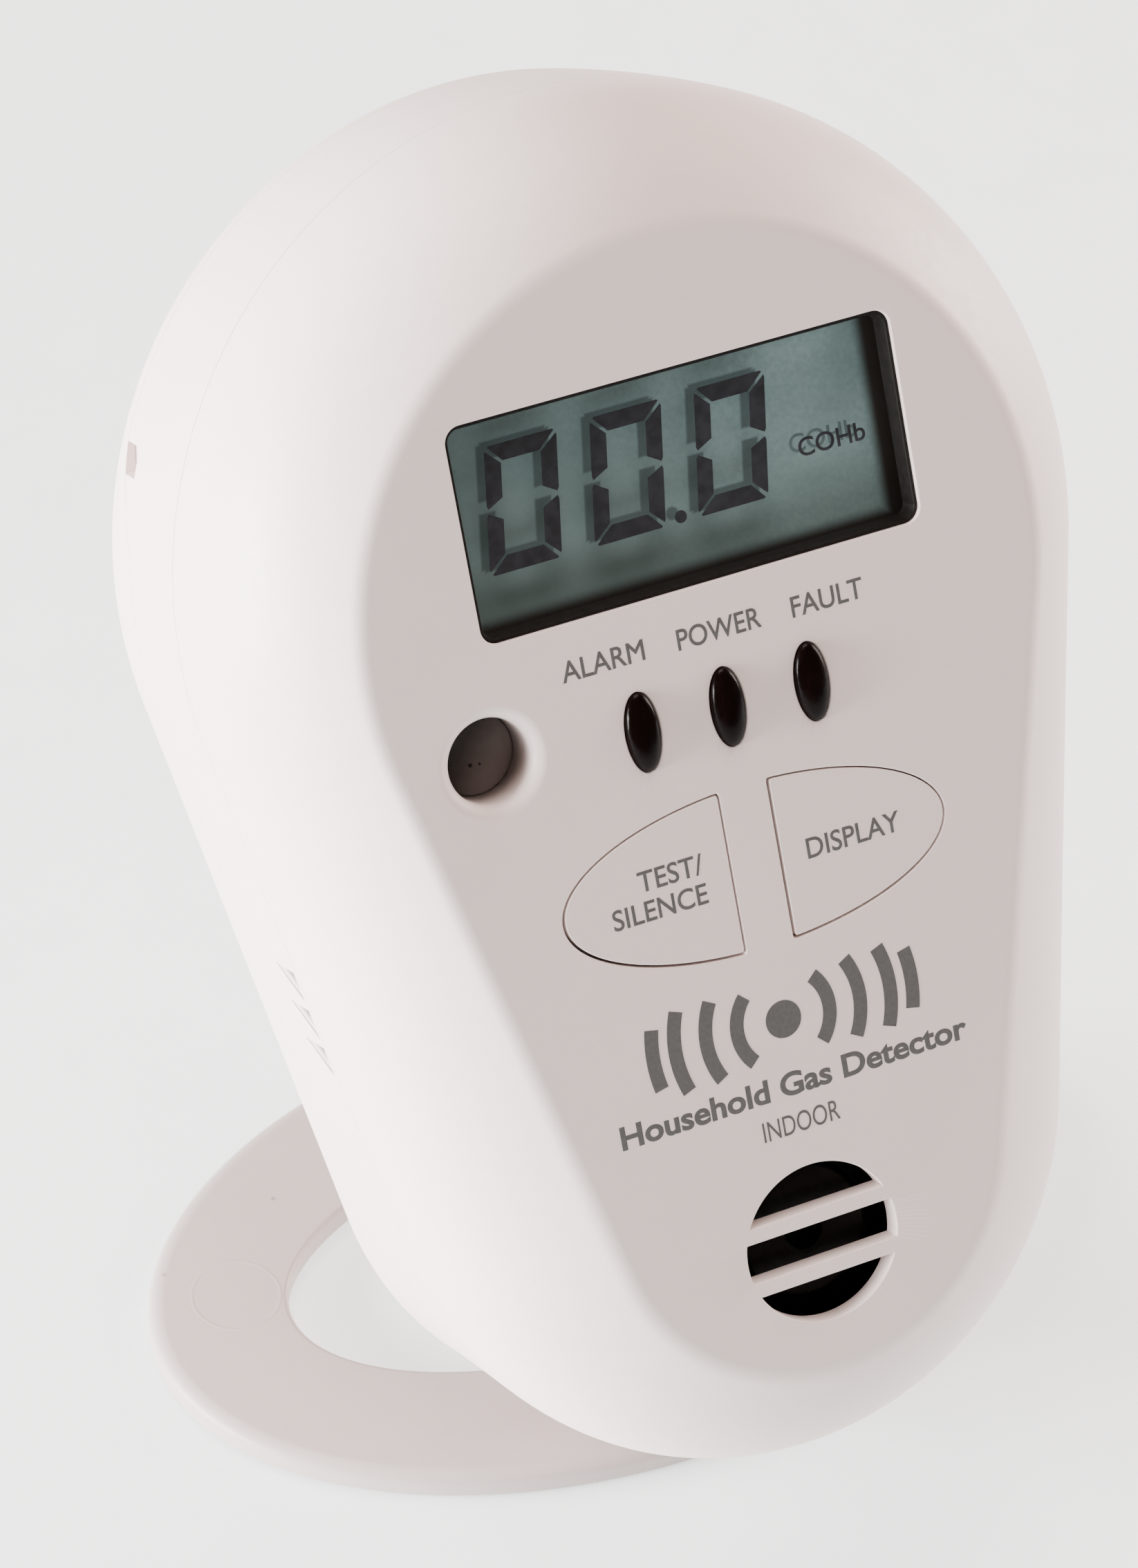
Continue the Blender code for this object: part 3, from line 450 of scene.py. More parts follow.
def digit_shadow(x, z):
    """How much of the segments' shadow falls at a point of the display's backing, from 0 to 1."""
    half_x, half_z = DIGIT_HALF
    blur = sizes().ghost_blur
    pitch = (DIGIT_X[2] - DIGIT_X[0]) / 2
    upright = x - (z - DIGIT_Z) * DIGIT_SLANT
    local = (upright - (DIGIT_X[0] - pitch / 2)).wrapped(pitch) - pitch / 2
    across, up = abs(local), abs(z - DIGIT_Z)
    post = (abs(across - (half_x - DIGIT_STROKE / 2)) - DIGIT_STROKE / 2).most(0.0005 - up)
    post = post.most(up - (half_z - 0.0002))
    bar = (abs(up - (half_z - DIGIT_STROKE / 2)) - DIGIT_STROKE / 2).most(across - (half_x - 0.0003))
    digits = post.least(bar).ramp(-blur * 0.7, blur, 1.0, 0.0)
    inside = abs(upright - DIGIT_X[1]).below(pitch * 1.5)
    point = (x - POINT_AT[0]).hypot(z - POINT_AT[1]) - POINT_R
    return (digits * inside).most(point.ramp(-blur * 0.7, blur, 1.0, 0.0))


def display_backing(name):
    """Grey-green reflector with painted light that makes it lighter towards its upper right, a dark band
    round its rim that is partly its own dark edge and partly painted shade, and the digits' soft shadow
    painted on it.
    """
    base = colours().display
    paint = Paint(name, Specular_IOR_Level=0.35)
    x, _, z = paint.axes()
    fine = paint.grain(0.00045, 4.0, 0.65)
    cloud = paint.grain(0.010, 2.0)
    # Painted light: the backing is lighter towards its upper right.
    painted_light_slope = (x * 0.9 + z * 1.1).ramp(-0.020, 0.022)
    colour = paint.mix(painted_light_slope, tint(base, 1.00), tint(base, 1.62))
    colour = paint.mix(cloud.ramp(0.35, 0.65, 0.0, 0.5), colour, tint(base, 1.04))
    colour = paint.mix(fine.mottle(0.0, 0.4), colour, tint(base, 0.93))
    # Painted shadow of the digits on the backing.
    colour = paint.mix(digit_shadow(x, z) * 0.70, colour, tint(base, 0.28))
    # Dark band round the edge: partly the reflector's own dark edge, partly painted shade from the window's
    # frame.
    rim = (abs(x) - 0.01845).most(abs(z) - 0.00835).ramp(-0.00080, 0.00055)
    colour = paint.mix(rim, colour, (0.026, 0.022, 0.019))
    return paint.finished(colour, fine.sheen(0.44, 0.56), (fine, 0.10, 0.00002))


def turned_steel(name):
    """Plated steel with a fine texture and a few dull patches."""
    steel = colours().steel
    paint = Paint(name, Metallic=1.0)
    fine = paint.grain(0.0005, 4.0, 0.6)
    dull = paint.grain(0.0030)
    colour = paint.mix(dull.ramp(0.40, 0.70), steel, tint(steel, 0.72))
    return paint.finished(colour, dull.mottle(0.24, 0.44), (fine, 0.25, 0.00003))


def label_film(name):
    """Silver-grey film with a plain printed border and rows of small bars in place of wording."""
    paint = Paint(name, Specular_IOR_Level=0.5)
    x, _, z = paint.axes()
    fine = paint.grain(0.0008)
    colour = paint.mix(fine.mottle(), (0.56, 0.56, 0.55), (0.64, 0.64, 0.63))
    up = z - LABEL_Z
    border = abs((abs(x) - 0.0205).most(abs(up) - 0.0113)).ramp(0.00012, 0.00022, 1.0, 0.0)
    row_pitch = 0.0021
    in_row = (up + 0.0105).wrapped(row_pitch)
    row = abs(in_row - row_pitch / 2).ramp(0.00032, 0.00046, 1.0, 0.0)
    spot = paint.node("ShaderNodeCombineXYZ", values={0: x * 520.0, 1: (up + 0.0105 - in_row) * 4000.0})
    words = paint.node("ShaderNodeTexNoise", {"noise_dimensions": "2D"},
                       {"Vector": spot, "Scale": 1.0, "Detail": 1.0}).above(0.45)
    room = abs(x + 0.0035).below(0.0150) * abs(up).below(0.0084)
    colour = paint.mix((row * words * room).most(border), colour, (0.10, 0.10, 0.10))
    return paint.finished(colour, fine.sheen(0.30, 0.42), (fine, 0.08, 0.00002))


def solder_mask(name):
    """Green board with brighter tracks running under the mask."""
    paint = Paint(name, Specular_IOR_Level=0.5)
    x, _, _ = paint.axes()
    fine = paint.grain(0.0009)
    track_pitch = 0.0018
    wander = paint.grain(0.012, 0.0) * 0.006
    lane = abs((x + wander).wrapped(track_pitch) - track_pitch / 2).ramp(0.00022, 0.00030, 1.0, 0.0)
    track = lane * paint.grain(0.007, 1.0).above(0.48)
    colour = paint.mix(fine.mottle(), (0.010, 0.085, 0.034), (0.016, 0.110, 0.045))
    colour = paint.mix(track * 0.8, colour, (0.035, 0.19, 0.075))
    return paint.finished(colour, fine.sheen(0.30, 0.42), (track + fine * 0.2, 0.3, 0.00004))


def inner_finish(colour, rough, metal=0.0, grain=0.0012, second=None):
    """The finish of a plain inner part: mottled colour, uneven sheen and a fine skin."""
    def made(name):
        paint = Paint(name, Metallic=metal)
        fine = paint.grain(grain, 4.0, 0.6)
        blotch = paint.grain(0.004)
        mixed = paint.mix(blotch.ramp(0.40, 0.62), colour, second or tint(colour, 0.82))
        mixed = paint.mix(fine.mottle(0.0, 0.4), mixed, tint(colour, 1.15))
        return paint.finished(mixed, fine.sheen(rough, rough + 0.12), (fine, 0.25, 0.00004))
    return made


def studio_floor(name):
    """Pale ground that gives off a little light of its own."""
    paint = Paint(name, Specular_IOR_Level=0.2, Emission_Color=(1.0, 1.0, 1.0), Emission_Strength=0.80)
    fine = paint.grain(0.010)
    colour = paint.mix(fine.mottle(), (0.83, 0.90, 0.92), (0.86, 0.93, 0.95))
    return paint.finished(colour, fine.sheen(0.70, 0.80))


FINISHES = {
    "shell": shell_plastic, "stand": stand_plastic_painted_shade,
    "front": lambda name: shell_plastic(name, shadow=port_shadow),
    "rear": lambda name: shell_plastic(name, shadow=vent_shadow),
    "cap": lambda name: shell_plastic(name, 0.985),
    "bezel": lambda name: black_plastic(name, 0.45, 0.6, 0.15),
    "sounder": lambda name: black_plastic(name, 0.30, 0.30, 0.12),
    "ink": printing_ink, "lens": lens_resin, "port": port_floor, "backing": display_backing,
    "segment": segment_film, "segment_shadow": shadow_film, "screw_steel": turned_steel,
    "label_face": label_film, "floor": studio_floor,
}
SLOT_FINISHES = {
    "black_plastic": inner_finish((0.016, 0.015, 0.016), 0.36), "board": solder_mask,
    "white_plastic": inner_finish((0.78, 0.78, 0.76), 0.45), "steel": turned_steel,
    "contact_rubber": inner_finish((0.045, 0.045, 0.05), 0.70), "display_glass": display_backing,
    "brass": inner_finish((0.72, 0.52, 0.22), 0.28, 1.0, second=(0.55, 0.36, 0.14)),
    "cell_jacket": inner_finish((0.10, 0.19, 0.38), 0.32, second=(0.08, 0.16, 0.33)),
    "led_clear": inner_finish((0.74, 0.77, 0.77), 0.10), "label": label_film,
    "winding": inner_finish((0.62, 0.27, 0.12), 0.30, 1.0, 0.0004, (0.48, 0.19, 0.08)),
    "red_lead": inner_finish((0.50, 0.03, 0.03), 0.40), "dark_lens": lens_resin,
    "shell": shell_plastic, "button": shell_plastic, "stand": stand_plastic_painted_shade,
}


# ---------------------------------------------------------------- shapes
def full_turn(steps):
    return [2 * math.pi * i / steps for i in range(steps)]


def quarter_turn(steps):
    return [math.pi / 2 * i / steps for i in range(steps + 1)]


def side_lean(params):
    """Angle between an egg outline's straight side and the upright."""
    top_z, top_r, low_z, low_r = params
    return math.asin((top_r - low_r) / (top_z - low_z))


def egg(params, inset=0.0):
    """Points round an egg outline, anticlockwise from the right-hand tangent."""
    top_z, top_r, low_z, low_r = params
    lean = side_lean(params)
    top_r, low_r = top_r - inset, low_r - inset
    top = arc_points(0, top_z, top_r, -lean, math.pi + lean, TOP_STEPS)
    low = arc_points(0, low_z, low_r, math.pi + lean, 2 * math.pi - lean, LOW_STEPS)
    return top + between(top[-1], low[0], SIDE_STEPS) + low + between(low[-1], top[0], SIDE_STEPS)


def arc_points(x, z, r, first, last, steps):
    turns = [first + (last - first) * i / steps for i in range(steps + 1)]
    return [(x + r * math.cos(t), z + r * math.sin(t)) for t in turns]


def between(start, end, steps):
    return [(start[0] + (end[0] - start[0]) * k / steps, start[1] + (end[1] - start[1]) * k / steps)
            for k in range(1, steps)]


def mix(first, second, share):
    return tuple(a + (b - a) * share for a, b in zip(first, second))


def flank_egg(y):
    return mix(FACE_EGG, SEAM_EGG, 1 - (1 - y / SEAM_Y) ** 3)


def at(outline, y):
    """An outline of (x, z) points placed at a depth, which may be one number or one for each point."""
    depths = y if isinstance(y, list) else [y] * len(outline)
    return [(x, depth, z) for (x, z), depth in zip(outline, depths)]


def band(depths, inset=0.0):
    """The outline between the seam and the back, at a depth for each point."""
    near, far = egg(SEAM_EGG, inset), egg(BACK_EGG, inset)
    shares = [((y - SEAM_Y) / (BACK_Y - SEAM_Y)) ** 2 for y in depths]
    return at([mix(a, b, s) for a, b, s in zip(near, far, shares)], depths)


def joint_depths():
    """Depth of the line between rear cover and back plate at each point; it steps near the display."""
    low, high = PLATE_STEP_Z
    shares = [min(1.0, max(0.0, (z - low) / (high - low))) for _, z in egg(SEAM_EGG)]
    return [PLATE_LOWER_Y + (PLATE_UPPER_Y - PLATE_LOWER_Y) * t * t * (3 - 2 * t) for t in shares]


def circle(x, z, r, steps=64):
    return ellipse(x, z, r, r, steps)


def ellipse(x, z, a, b, steps=72):
    return [(x + a * math.cos(t), z + b * math.sin(t)) for t in full_turn(steps)]


def rounded_box(x, z, half_x, half_z, r, steps=10):
    points = []
    for quarter, (sx, sz) in enumerate(((1, 1), (-1, 1), (-1, -1), (1, -1))):
        first = math.pi / 2 * quarter
        middle = (x + sx * (half_x - r), z + sz * (half_z - r))
        points += arc_points(*middle, r, first, first + math.pi / 2, steps)
    return points


def half_button(side, grow, steps=72):
    """One half of the split ellipse, grown outwards, with its two corners just eased."""
    a, b = BUTTON_HALF[0] + grow, BUTTON_HALF[1] + grow
    bar = BUTTON_BAR_HALF - grow
    start = math.acos(bar / a) - 0.022
    turns = [-start + 2 * start * i / steps for i in range(steps + 1)]
    points = [(a * math.cos(t), b * math.sin(t)) for t in turns]
    ease_x, ease_z, ease = 0.00008, 0.00002, 0.0003
    points += [(bar + ease_x, points[-1][1] - ease_z), (bar, points[-1][1] - ease)]
    points += [(bar, -points[-1][1]), (bar + ease_x, points[0][1] + ease_z)]
    placed = [(side * x, BUTTON_Z + z) for x, z in points]
    return placed if side > 0 else placed[::-1]


def grille_slot(low, high, steps=36):
    """The part of the grille's circle between two heights."""
    reach = GRILLE_R * 0.9995
    first, last = (math.asin(max(-reach, min(reach, v)) / GRILLE_R) for v in (low, high))
    right = arc_points(0, GRILLE_Z, GRILLE_R, first, last, steps)
    return right + [(-x, z) for x, z in reversed(right)]


def offset(outline, distance):
    """An anticlockwise outline moved outwards, square to its own sides."""
    moved = []
    for i, (x, z) in enumerate(outline):
        (ax, az), (bx, bz) = outline[i - 1], outline[(i + 1) % len(outline)]
        before = Vector((z - az, ax - x)).normalized()
        after = Vector((bz - z, x - bx)).normalized()
        way = (before + after) / max(0.3, 1 + before.dot(after))
        moved.append((x + way.x * distance, z + way.y * distance))
    return moved


class Skin:
    """A closed surface put together from rows of points."""

    def __init__(self):
        self.bm = bmesh.new()
        self.fronts, self.backs = [], []

    def row(self, points):
        return [self.bm.verts.new(point) for point in points]

    def sleeve(self, loops, closed=False):
        """Joins loops of equal length in turn, and gives back the first and last row."""
        rows = [self.row(loop) for loop in loops]
        pairs = list(zip(rows, rows[1:])) + ([(rows[-1], rows[0])] if closed else [])
        for near, far in pairs:
            self.bridge(near, far)
        return rows[0], rows[-1]

    def bridge(self, near, far):
        for i in range(len(near)):
            j = (i + 1) % len(near)
            self.bm.faces.new((near[i], near[j], far[j], far[i]))

    def cap(self, row):
        self.bm.faces.new(row)

    def block(self, loops):
        """A closed solid: a sleeve with both its ends capped."""
        for end in self.sleeve(loops):
            self.cap(end)

    def wall(self, loops, pocket=False):
        """A sleeve from the front sheet to the back one, or to a floor of its own."""
        top, foot = self.sleeve(loops)
        self.fronts.append(top)
        if pocket:
            self.cap(foot)
        else:
            self.backs.append(foot)

    def sheet(self, rows):
        """A flat face bounded by the first row, with the others as holes in it."""
        edges = [self.bm.edges.get((row[i - 1], row[i])) for row in rows for i in range(len(row))]
        bmesh.ops.triangle_fill(self.bm, use_beauty=True, use_dissolve=False, edges=edges)

    def close(self):
        """The front and back sheets: the first wall bounds them and the others pierce them."""
        for rows in (self.fronts, self.backs):
            self.sheet(rows)

    def mesh(self, name):
        bmesh.ops.recalc_face_normals(self.bm, faces=self.bm.faces)
        open_edges = [edge for edge in self.bm.edges if len(edge.link_faces) != 2]
        if open_edges:
            raise RuntimeError(f"{name} has {len(open_edges)} edges that don't join two faces")
        made = bpy.data.meshes.new(name)
        self.bm.to_mesh(made)
        self.bm.free()
        return made


def eased(outline, r, y, inwards=1, steps=4, grow=1):
    """Rows that round an edge from the face down its side.

    inwards is +1 where depth grows with Y; grow is +1 round a hole and -1 round a cap.
    """
    return [at(offset(outline, grow * r * (1 - math.sin(t))), y + inwards * r * (1 - math.cos(t)))
            for t in quarter_turn(steps)]


def solid(name, loops):
    skin = Skin()
    skin.block(loops)
    return skin.mesh(name)


def slabs(name, outlines, y_front, y_back):
    """Flat solids side by side."""
    skin = Skin()
    for outline in outlines:
        skin.block([at(outline, y_front), at(outline, y_back)])
    return skin.mesh(name)


def prism(name, outline, y_front, y_back):
    return slabs(name, [outline], y_front, y_back)


def turned(name, profile, x=0.0, z=0.0, steps=96):
    """A round piece about an axis into the housing; profile is (radius, depth) pairs."""
    return solid(name, [at(circle(x, z, r, steps), y) for r, y in profile])


def tube(name, loops):
    skin = Skin()
    skin.sleeve(loops, closed=True)
    return skin.mesh(name)


def hull(name, points):
    bm = bmesh.new()
    for point in points:
        bm.verts.new(point)
    made = bmesh.ops.convex_hull(bm, input=bm.verts)
    loose = [item for item in made["geom_interior"] if isinstance(item, bmesh.types.BMVert)]
    bmesh.ops.delete(bm, geom=loose, context="VERTS")
    mesh = bpy.data.meshes.new(name)
    bm.to_mesh(mesh)
    bm.free()
    return mesh


def along_x(name, r, x_low, x_high, y=0.0, z=0.0, steps=48):
    ring = [(y + r * math.cos(t), z + r * math.sin(t)) for t in full_turn(steps)]
    return solid(name, [[(x, *point) for point in ring] for x in (x_low, x_high)])


def carve(mesh, operations):
    """The mesh after exact booleans; operations are (kind, tool mesh) pairs."""
    body = bpy.data.objects.new("work", mesh)
    bpy.context.scene.collection.objects.link(body)
    tools = []
    for kind, tool_mesh in operations:
        tool = bpy.data.objects.new("tool", tool_mesh)
        bpy.context.scene.collection.objects.link(tool)
        tools.append(tool)
        step = body.modifiers.new(kind, "BOOLEAN")
        step.operation = kind
        step.solver = "EXACT"
        step.object = tool
    graph = bpy.context.evaluated_depsgraph_get()
    made = bpy.data.meshes.new_from_object(body.evaluated_get(graph))
    made.name = mesh.name
    for item in [body, *tools]:
        bpy.data.objects.remove(item)
    return made


def piece(name, mesh, look, body, stands_for=(), place=None):
    """Links a mesh as a piece that rides on a body, with the finish named by look, and hides the CAD parts
    it stands for.
    """
    mesh.materials.clear()
    mesh.materials.append(finish(look))
    mesh.shade_smooth()
    mesh.set_sharp_from_angle(angle=math.radians(SHARP_ANGLE))
    made = bpy.data.objects.new(name, mesh)
    bpy.context.scene.collection.objects.link(made)
    made.matrix_world = HOUSING if place is None else place
    even = made.modifiers.new("even_shading", "WEIGHTED_NORMAL")
    even.keep_sharp = True
    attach(made, body)
    if stands_for:
        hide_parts(*stands_for)
    return made


# ---------------------------------------------------------------- front cover
def crease_rows(reach, steps=8):
    """Rows that round the face's edge, from the flat face out to the flank."""
    drop = reach * 0.56
    inner, corner = egg(FACE_EGG, reach), egg(FACE_EGG)
    outer = egg(flank_egg(drop))
    rows = []
    for k in range(steps + 1):
        t = k / steps
        share = ((1 - t) ** 2, 2 * t * (1 - t), t * t)
        rows.append([(sum(s * p[0] for s, p in zip(share, points)), share[2] * drop,
                      sum(s * p[1] for s, p in zip(share, points))) for points in zip(inner, corner, outer)])
    return rows, drop


def front_cover_mesh():
    edge, half_gap = sizes().edge, sizes().seam / 2
    rows, drop = crease_rows(sizes().crease)
    steps, spread, stop = 26, 1.35, SEAM_Y - 0.00016
    for k in range(1, steps + 1):
        y = drop + (stop - drop) * (k / steps) ** spread
        rows.append(at(egg(flank_egg(y)), y))
    end = SEAM_Y - half_gap
    rows += [at(egg(SEAM_EGG, SEAM_EASE), end - SEAM_EASE), at(egg(SEAM_EGG, SEAM_SET), end)]
    rebate, lip = SEAM_Y - 0.0022, 0.0011
    rows += [at(egg(SEAM_EGG, lip), end), at(egg(flank_egg(rebate), lip), rebate)]
    for t in (1, 0.6, 0.33, 0.13, 0):
        y = WALL + (rebate - WALL) * t
        rows.append(at(egg(mix(FACE_EGG, flank_egg(rebate), 1 - (1 - t) ** 3), 0.002), y))
    skin = Skin()
    skin.wall(rows)
    lens_gap, button_gap = 0.00005, 0.00003
    lens_room = [half + lens_gap for half in LED_HALF]
    holes = [rounded_box(0, 0, *LCD_HALF, LCD_CORNER)]
    holes += [ellipse(k * LED_PITCH, LED_Z, *lens_room) for k in (-1, 0, 1)]
    holes += [half_button(side, button_gap) for side in (-1, 1)]
    bar_low, bar_high = GRILLE_BAR_Z - GRILLE_BAR / 2, GRILLE_BAR_Z + GRILLE_BAR / 2
    holes += [grille_slot(*span) for span in ((-1, -bar_high), (-bar_low, bar_low), (bar_high, 1))]
    for hole in holes:
        skin.wall(eased(hole, edge, 0.0) + [at(hole, WALL)])
    bore = circle(PORT_X, PORT_Z, PORT_R)
    tube_out = circle(PORT_X, PORT_Z, PORT_R + PORT_TUBE_WALL)
    skin.wall(eased(bore, PORT_LIP, 0.0, steps=14)
              + [at(bore, PORT_TUBE_END), at(tube_out, PORT_TUBE_END), at(tube_out, WALL)])
    skin.close()
    return skin.mesh("front_shell")


class DETECTOR_OT_front_cover(bpy.types.Operator):
    """Front half of the housing: soft face, flared flank, and openings with eased edges"""
    bl_idname = "detector.front_cover"
    bl_label = "Front cover"

    def execute(self, context):
        piece("front_shell", front_cover_mesh(), "front", "housing", ["front_cover"])
        return {"FINISHED"}


# ---------------------------------------------------------------- rear cover and back plate
def vent_scoop(side, z_top):
    """A scoop under the surface: deepest in its upper front corner and running out to nothing behind."""
    lean = side_lean(SEAM_EGG)
    across = Vector((math.cos(lean), 0, -math.sin(lean)))

    def on_wall(y, z, depth):
        wall = (SEAM_EGG[1] + (z - SEAM_EGG[0]) * math.sin(lean)) / math.cos(lean)
        point = Vector((wall, y, z)) - across * depth
        return (side * point.x, point.y, point.z)

    y_front, y_back = SEAM_Y + VENT_START, SEAM_Y + VENT_END
    proud, run_out, foot = -0.0015, 0.00012, 0.00015
    corners = ((y_front, z_top), (y_back, z_top), (y_front, z_top - VENT_HIGH))
    points = [on_wall(y, z, proud) for y, z in corners]
    points += [on_wall(y_front, z_top, VENT_DEEP), on_wall(y_back, z_top, run_out),
               on_wall(y_front, z_top - VENT_HIGH, foot), on_wall(y_front, z_top - 0.0010, VENT_DEEP * 0.75)]
    return hull("vent", points)


def joint_notch(side):
    """Shallow finger notch where the plate's joint line steps."""
    points = []
    for z in (0.0047, 0.0071):
        wall = math.sqrt(BACK_EGG[1] ** 2 - (z - BACK_EGG[0]) ** 2)
        for y, depth in ((0.0289, 0.0012), (0.0312, 0.0008), (0.0328, 0.0)):
            points += [(side * (wall - depth), y, z), (side * (wall + 0.002), y, z)]
    return hull("notch", points)


def joint_lip(depths, way):
    """Rows that ease a shell's edge at the plate's joint and turn in; way is +1 on the plate's side."""
    gap = way * sizes().seam / 2
    rows = ((way * JOINT_EASE, JOINT_EASE), (0.0, JOINT_SET), (0.0, WALL))
    return [band([y + gap + ahead for y in depths], inset) for ahead, inset in rows]


def rear_cover_mesh():
    start, tongue = SEAM_Y + sizes().seam / 2, SEAM_Y - 0.0017
    depths = joint_depths()
    floor_front, floor_back = 0.0267, 0.0283
    inner, shoulder = 0.0025, 0.0014
    loops = [at(egg(SEAM_EGG, inner), floor_front), at(egg(SEAM_EGG, inner), start + 0.0012),
             at(egg(flank_egg(tongue), inner), tongue), at(egg(flank_egg(tongue), shoulder), tongue),
             at(egg(SEAM_EGG, shoulder), start), at(egg(SEAM_EGG, SEAM_SET), start),
             at(egg(SEAM_EGG, SEAM_EASE), start + SEAM_EASE)]
    lead, steps = SEAM_Y + 0.0003, 8
    for k in range(steps + 1):
        loops.append(band([lead + (y - 0.00012 - lead) * k / steps for y in depths]))
    loops += joint_lip(depths, -1)
    loops.append(at(egg(BACK_EGG, inner), floor_back))
    tools = [("DIFFERENCE", vent_scoop(side, z)) for side in (-1, 1) for z in VENT_Z]
    tools += [("DIFFERENCE", joint_notch(side)) for side in (-1, 1)]
    return carve(solid("rear_shell", loops), tools)


def keyhole_outline(side):
    """A round entry with a narrower slot above it."""
    x, z = KEYHOLE
    r, slot_r, slot_top = 0.0041, 0.0021, 0.0077
    meet = math.acos(slot_r / r)
    ring = arc_points(side * x, z, r, math.pi - meet, 2 * math.pi + meet, 48)
    tip = arc_points(side * x, z + slot_top, slot_r, 0.0, math.pi, 20)
    return ring + tip


def swing_room(side):
    """The space an ear of the stand sweeps as it folds."""
    down = (math.sin(LEAN), -math.cos(LEAN))
    reach, room, side_room = 0.009, 0.0004, 0.0003
    points = []
    for way_y, way_z in ((0, 0), down, (1, 0)):
        for t in full_turn(24):
            y = PIN_Y + reach * way_y + (EAR_R + room) * math.cos(t)
            z = PIN_Z + reach * way_z + (EAR_R + room) * math.sin(t)
            points += [(side * EAR_X - EAR_HALF - side_room, y, z),
                       (side * EAR_X + EAR_HALF + side_room, y, z)]
    return hull("ear_slot", points)


def heel_fill():
    """Solid fill at the housing's heel round the stand's pin, kept inside the plate's outer surface."""
    half, low, high = 0.0125, -0.100, -0.0806
    block = prism("heel", [(-half, low), (half, low), (half, high), (-half, high)], 0.0300, 0.0370)
    inset = 0.0004
    rows = [at(egg(BACK_EGG, inset), 0.0290)]
    for t in quarter_turn(9)[:-1]:
        shrink = HEEL_R - (HEEL_R - inset) * math.cos(t)
        rows.append(at(egg(BACK_EGG, shrink), PIN_Y + (HEEL_R - inset) * math.sin(t)))
    return carve(block, [("INTERSECT", solid("heel_skin", rows))])


def back_plate_mesh():
    edge = sizes().edge * 1.6
    depths = joint_depths()
    rows = [at(egg(BACK_EGG, HEEL_R * (1 - math.sin(t))), PIN_Y + HEEL_R * math.cos(t))
            for t in quarter_turn(14)]
    for k in (0.3, 0.6, 1.0):
        rows.append(band([PIN_Y + (y + 0.00012 - PIN_Y) * k for y in depths]))
    rows += joint_lip(depths, 1)
    for inset, y in ((0.0021, 0.0334), (0.0026, 0.0350), (0.0034, BACK_Y - WALL)):
        rows.append(at(egg(BACK_EGG, inset), y))
    skin = Skin()
    skin.wall(rows)
    for side in (-1, 1):
        hole = keyhole_outline(side)
        skin.wall(eased(hole, edge, BACK_Y, -1) + [at(hole, BACK_Y - WALL)])
    pocket = rounded_box(0, LABEL_Z, *CASE_LABEL, LABEL_CORNER)
    skin.wall(eased(pocket, edge * 0.6, BACK_Y, -1) + [at(pocket, BACK_Y - 0.0005)], pocket=True)
    skin.close()
    x, z = PLATE_SCREW
    steps = [("UNION", heel_fill())]
    steps += [("UNION", prism("post", circle(side * x, z, 0.0036, 48), 0.0287, 0.0371)) for side in (-1, 1)]
    steps += [("DIFFERENCE", turned("well", SCREW_WELL, side * x, z, 48)) for side in (-1, 1)]
    steps += [("DIFFERENCE", swing_room(side)) for side in (-1, 1)]
    steps.append(("DIFFERENCE", along_x("bore", BORE_R, -0.0108, 0.0108, PIN_Y, PIN_Z)))
    return carve(skin.mesh("back_panel"), steps)


class DETECTOR_OT_rear_cover(bpy.types.Operator):
    """Rear half of the housing with its side vents and finger notches"""
    bl_idname = "detector.rear_cover"
    bl_label = "Rear cover"

    def execute(self, context):
        piece("rear_shell", rear_cover_mesh(), "rear", "housing", ["rear_cover"])
        return {"FINISHED"}


class DETECTOR_OT_back_plate(bpy.types.Operator):
    """Back plate with keyholes, screw wells and a label pocket, and the label in it"""
    bl_idname = "detector.back_plate"
    bl_label = "Back plate"

    def execute(self, context):
        piece("back_panel", back_plate_mesh(), "shell", "housing", ["back_plate"])
        outline = rounded_box(0, LABEL_Z, *(half - 0.0003 for half in CASE_LABEL), LABEL_CORNER)
        piece("label_plate", prism("label_plate", outline, BACK_Y - 0.00035, BACK_Y - 0.00008),
              "label_face", "housing", ["rating_label"])
        return {"FINISHED"}


# ---------------------------------------------------------------- stand
def ring_section():
    """The band's cross-section as (inset from the outer edge, height above the ground) pairs."""
    shoulder, edge, foot = RING_ROUND * RING_SHOULDER, RING_INNER_ROUND, RING_FOOT_ROUND
    points = [(RING_ROUND * (1 - math.cos(t)) * RING_SHOULDER, RING_THICK - RING_ROUND * (1 - math.sin(t)))
              for t in quarter_turn(8)]
    points += [(shoulder + (RING_BAND - shoulder - edge) * share, RING_THICK) for share in (0.3, 0.7)]
    points += [(RING_BAND - edge * (1 - math.sin(t)), RING_THICK - edge * (1 - math.cos(t)))
               for t in quarter_turn(4)]
    points += [(RING_BAND - edge * (1 - math.cos(t)), edge * (1 - math.sin(t))) for t in quarter_turn(3)]
    points += [(foot * (1 - math.sin(t)), foot * (1 - math.cos(t))) for t in quarter_turn(3)]
    return points


def stand_mesh():
    ground = -PIN_PLACE.translation.z
    a, b = RING_HALF
    turns = full_turn(224)
    loops = [[((a - inset) * math.cos(t), RING_CENTRE + (b - inset) * math.sin(t), ground + height)
              for t in turns] for inset, height in ring_section()]
    foot_z = ground + RING_THICK - EAR_SINK
    ears = []
    for side in (-1, 1):
        points = []
        for x in (side * EAR_X - EAR_HALF, side * EAR_X + EAR_HALF):
            points += [(x, -EAR_FOOT_HALF, foot_z), (x, EAR_FOOT_HALF, foot_z)]
            points += [(x, EAR_R * math.cos(t), EAR_R * math.sin(t)) for t in turns[::7]]
        ears.append(("UNION", hull("ear", points)))
    bore = along_x("bore", BORE_R, -0.012, 0.012)
    return carve(tube("stand_band", loops), ears + [("DIFFERENCE", bore)])


